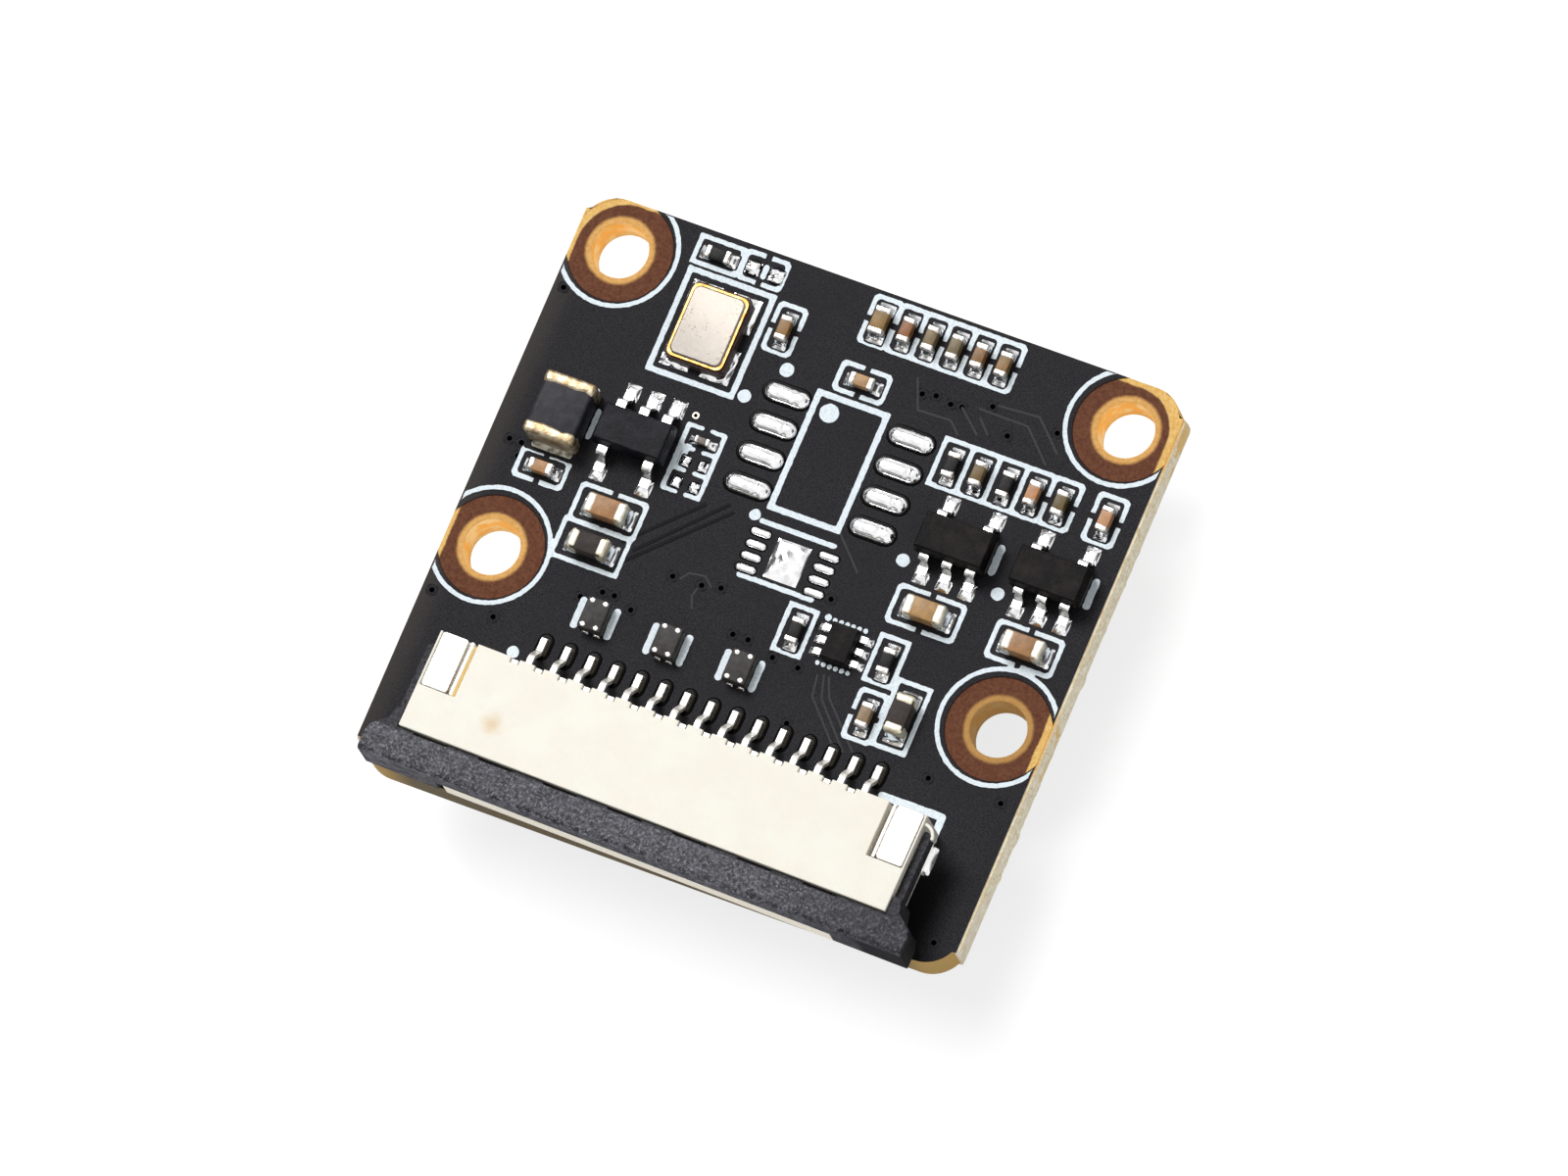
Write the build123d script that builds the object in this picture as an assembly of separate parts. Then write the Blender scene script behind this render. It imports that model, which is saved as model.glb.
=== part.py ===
from build123d import *
import os

# A small camera board. It is a 25 mm wide circuit board with a fixed-focus
# lens module under it, and with the parts and the flat-cable connector on top.
# The frame: the origin is the centre of the four mounting holes, halfway
# through the board, +X along the long hole spacing, +Z out of the side that
# carries the parts, and the flat cable leaves towards -Y. All sizes are in mm.

# The board
HOLE_PITCH_X = 21.0
HOLE_PITCH_Y = 12.5
HOLE_D = 2.2
HOLE_TO_SIDE = 2.0
HOLE_TO_TOP_EDGE = 1.95
HOLE_TO_BOTTOM_EDGE = 9.41
BOARD_W = HOLE_PITCH_X + 2 * HOLE_TO_SIDE
BOARD_L = HOLE_PITCH_Y + HOLE_TO_TOP_EDGE + HOLE_TO_BOTTOM_EDGE
BOARD_T = 1.6
CORNER_R = 1.4
ROUTED_INSET = 0.12
SCORE_DEPTH = 0.5
SCORE_WIDTH = 0.1
TAB_SETBACK = 0.8
BARE_RING_R = 2.05
MASK_T = 0.03

# The white print on the board
PRINT_T = 0.02
PRINT_LINE = 0.24
PRINT_RING_R = 2.29
PRINT_SHIFT_X = -0.06
PRINT_SHIFT_Y = 0.05
PRINT_GAP = 0.18
PRINT_CLEAR = 0.04
PRINT_EDGE_CLEAR = 0.03
DOT_R = 0.29
CELL_CORNER_R = 0.25
SQUARE_CORNER = 0.06
BAR_END = 0.06
CRYSTAL_FRAME = (0.07, -0.05, 1.87, 2.23)
CRYSTAL_LINE = 0.28
EIGHT_FRAME_HALF_W = 1.55
EIGHT_FRAME_HALF_L = 2.56
EIGHT_LINE = 0.3
SPARE_CAP_FRAME_HALF_W = 0.97
SPARE_CAP_FRAME_HALF_L = 0.67
SPARE_CAP_BAR_W = 0.18
SPARE_CAP_BAR_L = 0.58
DFN_BAR_X = -0.06
DFN_BAR_L = 3.24
DFN_BARS_Y = (1.2, -1.04)
COMB_X = -0.05
COMB_Y = 0.08
COMB_BAR_L = 0.76
COMB_BAR_OUT = 0.48
COMB_LINE = 0.22
COMB_SIDE_X = 0.75
COMB_SIDE_L = 2.77
COMB_SIDE_Y = -0.79
REG_BAR_X = 1.52
REG_BAR_L = 1.23
REG_BAR_Y = 0.06
REG_DOT = (-1.83, -1.15)
REG_LEFT_BAR_X = 1.9
FILTER_BAR_X = 0.69
FILTER_BAR_L = 1.25
SIX_BLOBS = 6
SIX_BLOB = 0.17
SIX_BLOB_PITCH = 0.25
SIX_BLOB_Y = 0.88
CONNECTOR_BAR_IN = 0.15
CONNECTOR_BAR_L = 1.19
CONNECTOR_CORNER_L = 2.6
CONNECTOR_LINE = 0.2
PIN_CLEAR_W = 0.5
PIN_CLEAR_L = 1.1

# Solder: the tinned copper under a part, and how the solder climbs its end
PAD_T = 0.05
TOE = 0.27
CLIMB_SHARE = 0.6
BUMP_T = 0.14

# Chips: length, width, height and metal band at each end
CAP_L = 1.0
CAP_W = 0.5
CAP_H = 0.5
CAP_BAND = 0.25
BIG_CAP_L = 1.1
BIG_CAP_W = 0.64
RES_H = 0.35
RES_BAND = 0.22
LARGE_L = 1.65
LARGE_W = 0.82
LARGE_H = 0.8
LARGE_BAND = 0.4
BEAD_L = 1.6
TINY_L = 0.6
TINY_W = 0.3
TINY_H = 0.3
TINY_BAND = 0.15
BAND_STEP = 0.02
CHIP_EDGE = 0.04

# Places of the chips, from the centre of the mounting holes
TOP_ROW_Y = 6.95
TOP_ROW_FIRST_X = 0.08
TOP_ROW_SECOND_X = 1.18
TOP_ROW_PITCH = 1.01
TOP_ROW_COUNT = 5
SECOND_ROW_Y = 2.64
SECOND_ROW_FIRST_X = 4.84
SECOND_ROW_PITCH = 1.13
LONE_CAP_X = 11.22
CELL_HALF_W = 0.63
CELL_WIDE_HALF_W = 0.69
CELL_HALF_L = 1.06

# Crystal in a ceramic can with a metal lid
CRYSTAL_X = -5.93
CRYSTAL_Y = 4.42
CRYSTAL_W = 2.5
CRYSTAL_L = 3.2
CRYSTAL_BASE_H = 0.52
CRYSTAL_NOTCH_R = 0.16
CRYSTAL_RIM = 0.22
CRYSTAL_RIM_H = 0.13
CRYSTAL_RIM_INSET = 0.08
CRYSTAL_LID_STEP = 0.1
CRYSTAL_LID_H = 0.1
CRYSTAL_CORNER_R = 0.3
CRYSTAL_PAD_W = 1.2
CRYSTAL_PAD_L = 1.42
CRYSTAL_PAD_OUT = 0.18

# Power inductor with dipped metal ends
COIL_X = -9.85
COIL_Y = -0.58
COIL_W = 2.0
COIL_L = 2.5
COIL_H = 1.2
COIL_BAND = 0.45
COIL_DIP_T = 0.04
COIL_EDGE = 0.1

# Regulators, each a five-lead moulded package
REG_BODY_L = 2.9
REG_BODY_W = 1.6
REG_BODY_H = 1.1
REG_STANDOFF = 0.1
REG_DRAFT = 8
REG_PITCH = 0.95
REG_SPAN = 3.0
REG_LEAD_W = 0.4
REG_LEAD_T = 0.15
REG_FOOT_L = 0.4
REG_BEND_R = 0.08
REG_PAD_L = 0.72
REG_PAD_W = 0.62
REG_RIGHT_X = 10.25
REG_MIDDLE_X = 6.35
REG_ROW_Y = -0.23
REG_LEFT_X = -6.87
REG_LEFT_Y = -0.47
REG_LEFT_SPAN = 3.4

# Six-lead chip
SIX_X = 3.64
SIX_Y = -5.32
SIX_W = 1.12
SIX_L = 1.5
SIX_H = 0.55
SIX_PITCH = 0.5
SIX_LEAD_W = 0.27
SIX_LEAD_T = 0.14
SIX_LEAD_OUT = 0.36
SIX_PAD_OUT = 0.56
SIX_PAD_SPARE = 0.06

# Line filters, three of them on the camera data pairs
FILTER_FIRST_X = -5.57
FILTER_PITCH = 3.0
FILTER_Y = -7.5
FILTER_W = 0.95
FILTER_L = 1.25
FILTER_H = 0.6
FILTER_POST_R = 0.13
FILTER_POST_X = 0.24
FILTER_POST_EDGE = 0.03
FILTER_PAD_W = 0.3

# Places left without their part
SPARE_EIGHT_X = 0.38
SPARE_EIGHT_Y = 1.2
SPARE_EIGHT_SPAN = 5.16
SPARE_EIGHT_PITCH = 1.27
SPARE_EIGHT_PAD_L = 1.78
SPARE_EIGHT_PAD_W = 0.66
SPARE_DFN_X = 0.4
SPARE_DFN_Y = -2.98
SPARE_DFN_SPAN = 2.82
SPARE_DFN_PITCH = 0.5
SPARE_DFN_PAD_L = 0.84
SPARE_DFN_PAD_W = 0.3
SPARE_DFN_CENTRE_W = 1.36
SPARE_DFN_CENTRE_L = 1.62
SPARE_CAP_X = -4.92
SPARE_CAP_Y = 7.32
SPARE_PAD_OFFSET = 0.48
TINY_X = -4.48
TINY_Y = 0.28
TINY_PITCH = 0.88

# Flat-cable connector. It sits about a degree off square to the board, as
# such a part does after soldering. u runs along it, v points to the rear.
FFC_X = -0.12
FFC_REAR_TO_EDGE = 5.0
FFC_SKEW = -1.0
FFC_PINS = 15
FFC_PITCH = 1.0
FFC_HALF_W = 10.12
FFC_DEPTH = 3.98
FFC_H = 2.55
FFC_STANDOFF = 0.03
FFC_FLOOR_H = 1.05
FFC_LIP_HALF_W = 8.07
FFC_LIP_OUT = 1.24
FFC_ROOF_T = 0.45
FFC_REAR_WALL = 1.0
FFC_SLOT_HALF_W = 7.95
FFC_GROOVE_W = 0.36
FFC_GROOVE_D = 0.22
FFC_LIP_EDGE = 0.12
FFC_SLOT_REACH = 0.5

# Contacts of the connector
PIN_W = 0.26
PIN_T = 0.17
PIN_TAIL = 1.62
PIN_FOOT_L = 0.6
PIN_RISE_Z = 0.72
PIN_BEAM_T = 0.14
PIN_BEAM_L = 2.7
PIN_BELOW_TOP = 0.04
PIN_SLOPE = 0.35
PIN_LAND_W = 0.38
PIN_LAND_L = 0.85

# Sheet-metal hold-downs in the rear corners of the connector
HOLD_SIDE_WALL = 0.12
HOLD_W = 1.28
HOLD_L = 2.2
HOLD_T = 0.14
HOLD_CORNER_R = 0.12
HOLD_FOLD_GAP = 0.07
HOLD_FOLD_DROP = 0.08
HOLD_FOLD_H = 0.6
HOLD_LEG_IN = 0.5
HOLD_LEG_L = 0.9
HOLD_LEG_BACK = 0.62
HOLD_STEP_Z = 0.95
HOLD_FOOT_OUT = 0.14
HOLD_LAND_OUT = 0.14
HOLD_POCKET_GAP = 0.16
HOLD_CLEAR = 0.03

# Sliding latch
LATCH_GAP = 0.05
LATCH_HALF_W = 11.3
LATCH_BAR_D = 1.3
LATCH_H = 2.45
LATCH_END_Z = 0.6
LATCH_MOUTH_Z = 1.42
LATCH_MOUTH_HALF_W = 8.2
LATCH_EDGE_R = 0.22
LATCH_TRAVEL = 0.9
LATCH_RECESS_PITCH = 2.7
LATCH_RECESS_L = 1.4
LATCH_RECESS_D = 0.07
LATCH_RECESSES = 7
ARM_T = 0.32
ARM_BOTTOM = 1.5
ARM_TOP = 2.15
ARM_REAR = 0.5
ARM_END_R = 0.25
ARM_FLARE = 0.75
TONGUE_HALF_W = 7.75
TONGUE_T = 0.38
TONGUE_L = 2.3
TONGUE_CLEAR = 0.06
LUG_L = 0.5
LUG_D = 0.16
LUG_BACK = 2.2
LUG_CLEAR = 0.05
LUG_INSET = 0.12
EAR_T = 0.13
EAR_GAP = 0.06
EAR_BACK = 0.81
EAR_RISE = 0.05
EAR_H = 0.25

# Lens module under the board. Depths are measured down from the board.
LENS_Y = -6.25
MODULE_SIDE = 8.5
PAD_FOAM_T = 0.55
BASE_T = 0.4
TAIL_W = 5.6
TAIL_T = 0.12
PLUG_Y = 3.4
PLUG_W = 6.6
PLUG_L = 2.6
PLUG_T = 0.42
SOCKET_T = 0.41
SOCKET_WALL = 0.35
HOLDER_H = 2.7
HOLDER_WALL = 0.7
HOLDER_R = 0.5
BOSS_D = 7.4
BOSS_H = 0.5
BARREL_D = 6.2
BARREL_FIT = 0.01
BARREL_TO_GLASS = 0.1
BARREL_OUT = 1.05
BARREL_FLANGE_D = 6.9
BARREL_FLANGE_T = 0.45
GLASS_D = 4.5
GLASS_FIT = 0.1
BARREL_BORE_D = GLASS_D + GLASS_FIT
APERTURE_D = 1.9
APERTURE_WEB = 0.3
CONE_D = 4.4
CONE_DEPTH = 0.75
SENSOR_W = 5.6
SENSOR_L = 4.6
SENSOR_T = 0.45
FILTER_GLASS_SIDE = 6.6
FILTER_GLASS_T = 0.3
FILTER_GLASS_UP = 0.35
FRONT_GLASS_T = 0.7
REAR_GLASS_T = 0.8
GLASS_BULGE = 0.22

# Levels and outlines worked out from the sizes above
TOP = BOARD_T / 2
UNDER = -BOARD_T / 2
SEAT = TOP + PAD_T
TOP_EDGE_Y = HOLE_PITCH_Y / 2 + HOLE_TO_TOP_EDGE
BOTTOM_EDGE_Y = TOP_EDGE_Y - BOARD_L
FFC_REAR_Y = BOTTOM_EDGE_Y + FFC_REAR_TO_EDGE
HOLD_OUTER_U = FFC_HALF_W - HOLD_SIDE_WALL
HOLD_INNER_U = HOLD_OUTER_U - HOLD_W
HOLD_LEG_U = FFC_HALF_W - HOLD_LEG_IN
HOLD_FOOT_U = FFC_HALF_W + HOLD_FOOT_OUT
LUG_TRAVEL_ROOM = LATCH_TRAVEL + LUG_CLEAR
HOLES = [(sx * HOLE_PITCH_X / 2, sy * HOLE_PITCH_Y / 2) for sx in (-1, 1) for sy in (-1, 1)]

NODES = {}
pads = []


def block(x0, x1, y0, y1, z0, z1):
    """Rectangular block between two corners."""
    return Pos((x0 + x1) / 2, (y0 + y1) / 2, (z0 + z1) / 2) * Box(x1 - x0, y1 - y0, z1 - z0)


def plate(cx, cy, width, length, radius, z0, z1):
    """Flat plate with rounded corners."""
    face = Pos(cx, cy, z0) * RectangleRounded(width, length, radius)
    return extrude(face, amount=z1 - z0)


def disc(cx, cy, radius, z0, z1):
    """Round plate."""
    return Pos(cx, cy, (z0 + z1) / 2) * Cylinder(radius, z1 - z0)


def land(cx, cy, width, length, z1):
    """Tinned pad under a lead, from the board's face up to z1."""
    return block(cx - width / 2, cx + width / 2, cy - length / 2, cy + length / 2, TOP, z1)


def eased(width, length, corner):
    """Flat rectangle with its corners cut."""
    flat = Rectangle(width, length)
    return chamfer(flat.vertices(), corner)


def group(*shapes):
    """Several separate solids kept together as one piece of the list."""
    solids = []
    for shape in shapes:
        solids += shape.solids()
    return Compound(children=solids)


def place(shape, x, y, z, turn=0):
    """Put a shape made about the origin in its place on the board."""
    return Pos(x, y, z) * Rot(0, 0, turn) * shape


def board():
    """Laminate with routed corners, scored sides, holes and bare rings round them."""
    mid_y = (TOP_EDGE_Y + BOTTOM_EDGE_Y) / 2
    routed = RectangleRounded(BOARD_W - 2 * ROUTED_INSET, BOARD_L, CORNER_R)
    snapped = Rectangle(BOARD_W, BOARD_L - 2 * TAB_SETBACK)
    body = Pos(0, mid_y, UNDER) * extrude(routed + snapped, amount=BOARD_T)
    for side in (-1, 1):
        for level, way in ((TOP, -1), (UNDER, 1)):
            corner = (side * BOARD_W / 2, level)
            inner = (corner[0] - side * SCORE_WIDTH, level)
            deep = (corner[0], level + way * SCORE_DEPTH)
            score = make_face(Plane.XZ * Polyline(corner, inner, deep, close=True))
            body -= Pos(0, mid_y, 0) * extrude(score, amount=BOARD_L / 2, both=True)
    for x, y in HOLES:
        body -= disc(x, y, HOLE_D / 2, UNDER - 1, TOP + 1)
        body -= disc(x, y, BARE_RING_R, TOP - MASK_T, TOP + 1)
        body -= disc(x, y, BARE_RING_R, UNDER - 1, UNDER + MASK_T)
    return body


def solder_joint(half, band, toe, width, climb):
    """Solid of one solder joint, made along +X."""
    land = [(half - band, 0), (half + toe, 0), (half + toe, PAD_T)]
    wet = [(half + toe * 0.45, PAD_T + climb * 0.22), (half + toe * 0.15, PAD_T + climb * 0.6)]
    end = [(half, PAD_T + climb), (half, PAD_T), (half - band, PAD_T)]
    side = make_face(Plane.XZ * Polyline(*land, *wet, *end, close=True))
    return extrude(side, amount=width / 2, both=True)


def chip(length, width, height, band):
    """Ceramic chip along X, one piece with a metallised band round each end."""
    step = BAND_STEP
    body = block(-length / 2, length / 2, -width / 2 + step, width / 2 - step, step, height - step)
    for side in (-1, 1):
        outer = side * length / 2
        inner = side * (length / 2 - band)
        end = block(min(outer, inner), max(outer, inner), -width / 2, width / 2, 0, height)
        face = end.faces().sort_by(Axis.X)[-1 if side > 0 else 0]
        end = chamfer(end.edges().filter_by(Axis.X) + face.edges(), CHIP_EDGE)
        body = body - block(min(outer, inner), max(outer, inner), -width, width, -1, height + 1) + end
    return body


def add_chip(name, x, y, turn, length, width, height, band):
    """Place a chip on its two solder joints, and keep its land for the print."""
    NODES[name] = place(chip(length, width, height, band), x, y, SEAT, turn)
    climb = CLIMB_SHARE * height
    for half_turn in (0, 180):
        joint = solder_joint(length / 2, band, TOE, width, climb)
        solder.append(place(joint, x, y, TOP, turn + half_turn))
    along = length + 2 * TOE
    if turn in (90, -90):
        pads.append((x, y, width, along))
    else:
        pads.append((x, y, along, width))


def crystal():
    """Ceramic base with castellated corners, gold seal ring and a pressed lid."""
    outline = Rectangle(CRYSTAL_W, CRYSTAL_L)
    for sx in (-1, 1):
        for sy in (-1, 1):
            outline -= Pos(sx * CRYSTAL_W / 2, sy * CRYSTAL_L / 2) * Circle(CRYSTAL_NOTCH_R)
    base = extrude(outline, amount=CRYSTAL_BASE_H)
    rim_w = CRYSTAL_W - 2 * CRYSTAL_RIM_INSET
    rim_l = CRYSTAL_L - 2 * CRYSTAL_RIM_INSET
    rim_face = RectangleRounded(rim_w, rim_l, CRYSTAL_CORNER_R)
    rim_face -= RectangleRounded(rim_w - 2 * CRYSTAL_RIM, rim_l - 2 * CRYSTAL_RIM, CRYSTAL_CORNER_R / 2)
    rim = Pos(0, 0, CRYSTAL_BASE_H) * extrude(rim_face, amount=CRYSTAL_RIM_H)
    lid_z = CRYSTAL_BASE_H + CRYSTAL_RIM_H
    lid_w = rim_w - 2 * CRYSTAL_LID_STEP
    lid_l = rim_l - 2 * CRYSTAL_LID_STEP
    lid = plate(0, 0, lid_w, lid_l, CRYSTAL_CORNER_R, lid_z, lid_z + CRYSTAL_LID_H)
    lid = chamfer(lid.faces().sort_by(Axis.Z)[-1].edges(), CRYSTAL_LID_H * 0.6)
    for name, shape in (("crystal_base", base), ("crystal_seal_ring", rim), ("crystal_lid", lid)):
        NODES[name] = place(shape, CRYSTAL_X, CRYSTAL_Y, SEAT)
    for sx in (-1, 1):
        for sy in (-1, 1):
            x = CRYSTAL_X + sx * (CRYSTAL_W / 2 + CRYSTAL_PAD_OUT - CRYSTAL_PAD_W / 2)
            y = CRYSTAL_Y + sy * (CRYSTAL_L / 2 + CRYSTAL_PAD_OUT - CRYSTAL_PAD_L / 2)
            solder.append(land(x, y, CRYSTAL_PAD_W, CRYSTAL_PAD_L, SEAT))
            pads.append((x, y, CRYSTAL_PAD_W, CRYSTAL_PAD_L))


def inductor():
    """Moulded coil with a dipped metal end on each side."""
    core = block(-COIL_W / 2, COIL_W / 2, -COIL_L / 2, COIL_L / 2, 0, COIL_H)
    core = chamfer(core.edges(), COIL_EDGE)
    skin = block(
        -COIL_W / 2 - COIL_DIP_T, COIL_W / 2 + COIL_DIP_T,
        -COIL_L / 2 - COIL_DIP_T, COIL_L / 2 + COIL_DIP_T,
        -COIL_DIP_T, COIL_H + COIL_DIP_T,
    )
    skin = chamfer(skin.edges(), COIL_EDGE + COIL_DIP_T * (2 - 2 ** 0.5))
    dips = []
    for side in (-1, 1):
        end_y = side * (COIL_L / 2 - COIL_BAND / 2 + COIL_DIP_T)
        end = Pos(0, end_y, COIL_H / 2) * Box(COIL_W * 2, COIL_BAND + 2 * COIL_DIP_T, COIL_H * 2)
        dips.append(place((skin & end) - core, COIL_X, COIL_Y, SEAT + COIL_DIP_T))
        joint = solder_joint(COIL_L / 2 + COIL_DIP_T, COIL_BAND, TOE, COIL_W * 0.9, COIL_H * 0.3)
        solder.append(place(joint, COIL_X, COIL_Y, TOP, side * 90))
    NODES["inductor_core"] = place(core, COIL_X, COIL_Y, SEAT + COIL_DIP_T)
    NODES["inductor_ends"] = group(*dips)
    pads.append((COIL_X, COIL_Y, COIL_W, COIL_L + 2 * (COIL_DIP_T + TOE)))


def gull_lead(body_half, span, width):
    """One formed lead, made along +X from the side of the package to its toe."""
    mid_z = REG_STANDOFF + REG_BODY_H / 2
    half = span / 2
    bend_x = body_half + (half - REG_FOOT_L - body_half) * 0.6
    path = FilletPolyline(
        (body_half, mid_z),
        (bend_x, mid_z),
        (half - REG_FOOT_L, REG_LEAD_T / 2),
        (half, REG_LEAD_T / 2),
        radius=REG_BEND_R,
    )
    side = Plane.XZ * trace(path, REG_LEAD_T)
    lead = extrude(side, amount=width / 2, both=True)
    return lead - block(-body_half, body_half, -1, 1, 0, mid_z * 2)


def moulded_body(width, length, height, standoff, draft):
    """Moulded package that tapers up and down from its parting line."""
    half = height / 2
    outline = Rectangle(width, length)
    upper = extrude(outline, amount=half, taper=draft)
    lower = extrude(outline, amount=-half, taper=draft)
    return Pos(0, 0, standoff + half) * (upper + lower)


def regulator(name, x, y, span, top_leads, bottom_leads):
    """Package, its formed leads and the solder under each foot."""
    body = moulded_body(REG_BODY_L, REG_BODY_W, REG_BODY_H, REG_STANDOFF, REG_DRAFT)
    NODES[name + "_body"] = place(body, x, y, SEAT)
    leads = []
    rows = ((90, top_leads), (-90, bottom_leads))
    for turn, offsets in rows:
        for offset in offsets:
            lead_x = x + offset * REG_PITCH
            lead = gull_lead(REG_BODY_W / 2, span, REG_LEAD_W)
            leads.append(place(lead, lead_x, y, SEAT, turn))
            sign = 1 if turn > 0 else -1
            heel = span / 2 - REG_FOOT_L
            pad_y = y + sign * (heel + REG_PAD_L / 2)
            solder.append(land(lead_x, pad_y, REG_PAD_W, REG_PAD_L, SEAT))
            pads.append((lead_x, pad_y, REG_PAD_W, REG_PAD_L))
    NODES[name + "_leads"] = group(*leads)


def six_lead_chip():
    """Small flat-lead package."""
    body = moulded_body(SIX_W, SIX_L, SIX_H, 0, REG_DRAFT)
    leads = []
    for side in (-1, 1):
        for row in (-1, 0, 1):
            lead_y = row * SIX_PITCH
            inner = side * SIX_W / 2
            outer = side * (SIX_W / 2 + SIX_LEAD_OUT)
            low_y = lead_y - SIX_LEAD_W / 2
            lead = block(min(inner, outer), max(inner, outer), low_y, low_y + SIX_LEAD_W, 0, SIX_LEAD_T)
            leads.append(place(lead, SIX_X, SIX_Y, SEAT))
            pad_x = SIX_X + side * (SIX_W / 2 + SIX_PAD_OUT / 2)
            pad_w = SIX_LEAD_W + SIX_PAD_SPARE
            solder.append(land(pad_x, SIX_Y + lead_y, SIX_PAD_OUT, pad_w, SEAT))
            pads.append((pad_x, SIX_Y + lead_y, SIX_PAD_OUT, pad_w))
    NODES["six_lead_chip_body"] = place(body, SIX_X, SIX_Y, SEAT)
    NODES["six_lead_chip_leads"] = group(*leads)


def line_filter(name, x):
    """Ferrite line filter with four plated posts in its long sides."""
    body = block(-FILTER_W / 2, FILTER_W / 2, -FILTER_L / 2, FILTER_L / 2, 0, FILTER_H)
    post_y = FILTER_L / 2 - FILTER_POST_R - FILTER_POST_EDGE
    posts = []
    for sx in (-1, 1):
        for sy in (-1, 1):
            px = sx * FILTER_POST_X
            py = sy * post_y
            body -= disc(px, py, FILTER_POST_R, -1, FILTER_H + 1)
            posts.append(place(disc(px, py, FILTER_POST_R, 0, FILTER_H + BAND_STEP), x, FILTER_Y, SEAT))
            pad_y = FILTER_Y + py + sy * TOE / 2
            pad_l = 2 * FILTER_POST_R + TOE
            solder.append(land(x + px, pad_y, FILTER_PAD_W, pad_l, SEAT))
            pads.append((x + px, pad_y, FILTER_PAD_W, pad_l))
    NODES[name] = group(place(body, x, FILTER_Y, SEAT), *posts)


def solder_bump(cx, cy, length, width, turn=0):
    """Domed tinned pad of a place that holds no part."""
    radius = width / 2 - 0.005
    face = RectangleRounded(length, width, radius)
    bump = extrude(face, amount=BUMP_T)
    bump = chamfer(bump.faces().sort_by(Axis.Z)[-1].edges(), BUMP_T * 0.7)
    return place(bump, cx, cy, TOP, turn)


def square_bump(cx, cy, width, length):
    """Flat tinned pad with eased edges."""
    low = land(cx, cy, width, length, SEAT)
    return chamfer(low.faces().sort_by(Axis.Z)[-1].edges(), PAD_T * 0.7)


def spare_pads():
    """Tinned pads of the places left empty."""
    bumps = []
    for side in (-1, 1):
        for row in range(4):
            x = SPARE_EIGHT_X + side * SPARE_EIGHT_SPAN / 2
            y = SPARE_EIGHT_Y + (1.5 - row) * SPARE_EIGHT_PITCH
            bumps.append(solder_bump(x, y, SPARE_EIGHT_PAD_L, SPARE_EIGHT_PAD_W))
            pads.append((x, y, SPARE_EIGHT_PAD_L, SPARE_EIGHT_PAD_W))
            x = SPARE_DFN_X + side * SPARE_DFN_SPAN / 2
            y = SPARE_DFN_Y + (1.5 - row) * SPARE_DFN_PITCH
            bumps.append(square_bump(x, y, SPARE_DFN_PAD_L, SPARE_DFN_PAD_W))
            pads.append((x, y, SPARE_DFN_PAD_L, SPARE_DFN_PAD_W))
        x = SPARE_CAP_X + side * SPARE_PAD_OFFSET
        bumps.append(solder_bump(x, SPARE_CAP_Y, CAP_W, CAP_W * 0.94, 90))
        pads.append((x, SPARE_CAP_Y, CAP_W, CAP_W))
        for empty in (1, 2):
            x = TINY_X + side * (TINY_L + TINY_BAND) / 2
            y = TINY_Y - empty * TINY_PITCH
            bumps.append(square_bump(x, y, TINY_W, TINY_W * 1.3))
            pads.append((x, y, TINY_W, TINY_W * 1.3))
    bumps.append(square_bump(SPARE_DFN_X, SPARE_DFN_Y, SPARE_DFN_CENTRE_W, SPARE_DFN_CENTRE_L))
    pads.append((SPARE_DFN_X, SPARE_DFN_Y, SPARE_DFN_CENTRE_W, SPARE_DFN_CENTRE_L))
    return group(*bumps)


def seat_connector(shape):
    """Turn a shape from the connector's own frame to its place on the board."""
    return Pos(FFC_X, FFC_REAR_Y, TOP) * Rot(0, 0, FFC_SKEW) * shape


def pin_places():
    """Places of the contacts along the connector."""
    first = -(FFC_PINS - 1) / 2 * FFC_PITCH
    return [first + number * FFC_PITCH for number in range(FFC_PINS)]


def ear_plan():
    """Plan of the small hook over the end of the right arm, about its own centre."""
    inner = LATCH_GAP + ARM_T + EAR_GAP
    hook = Circle(inner + EAR_T) - Circle(inner)
    return hook & (Pos(inner, inner) * Rectangle(2 * inner, 2 * inner))


def mirror_pair(solid):
    """The solid and its mirror image at the other end of the connector."""
    return solid, mirror(solid, about=Plane.YZ)


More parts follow.
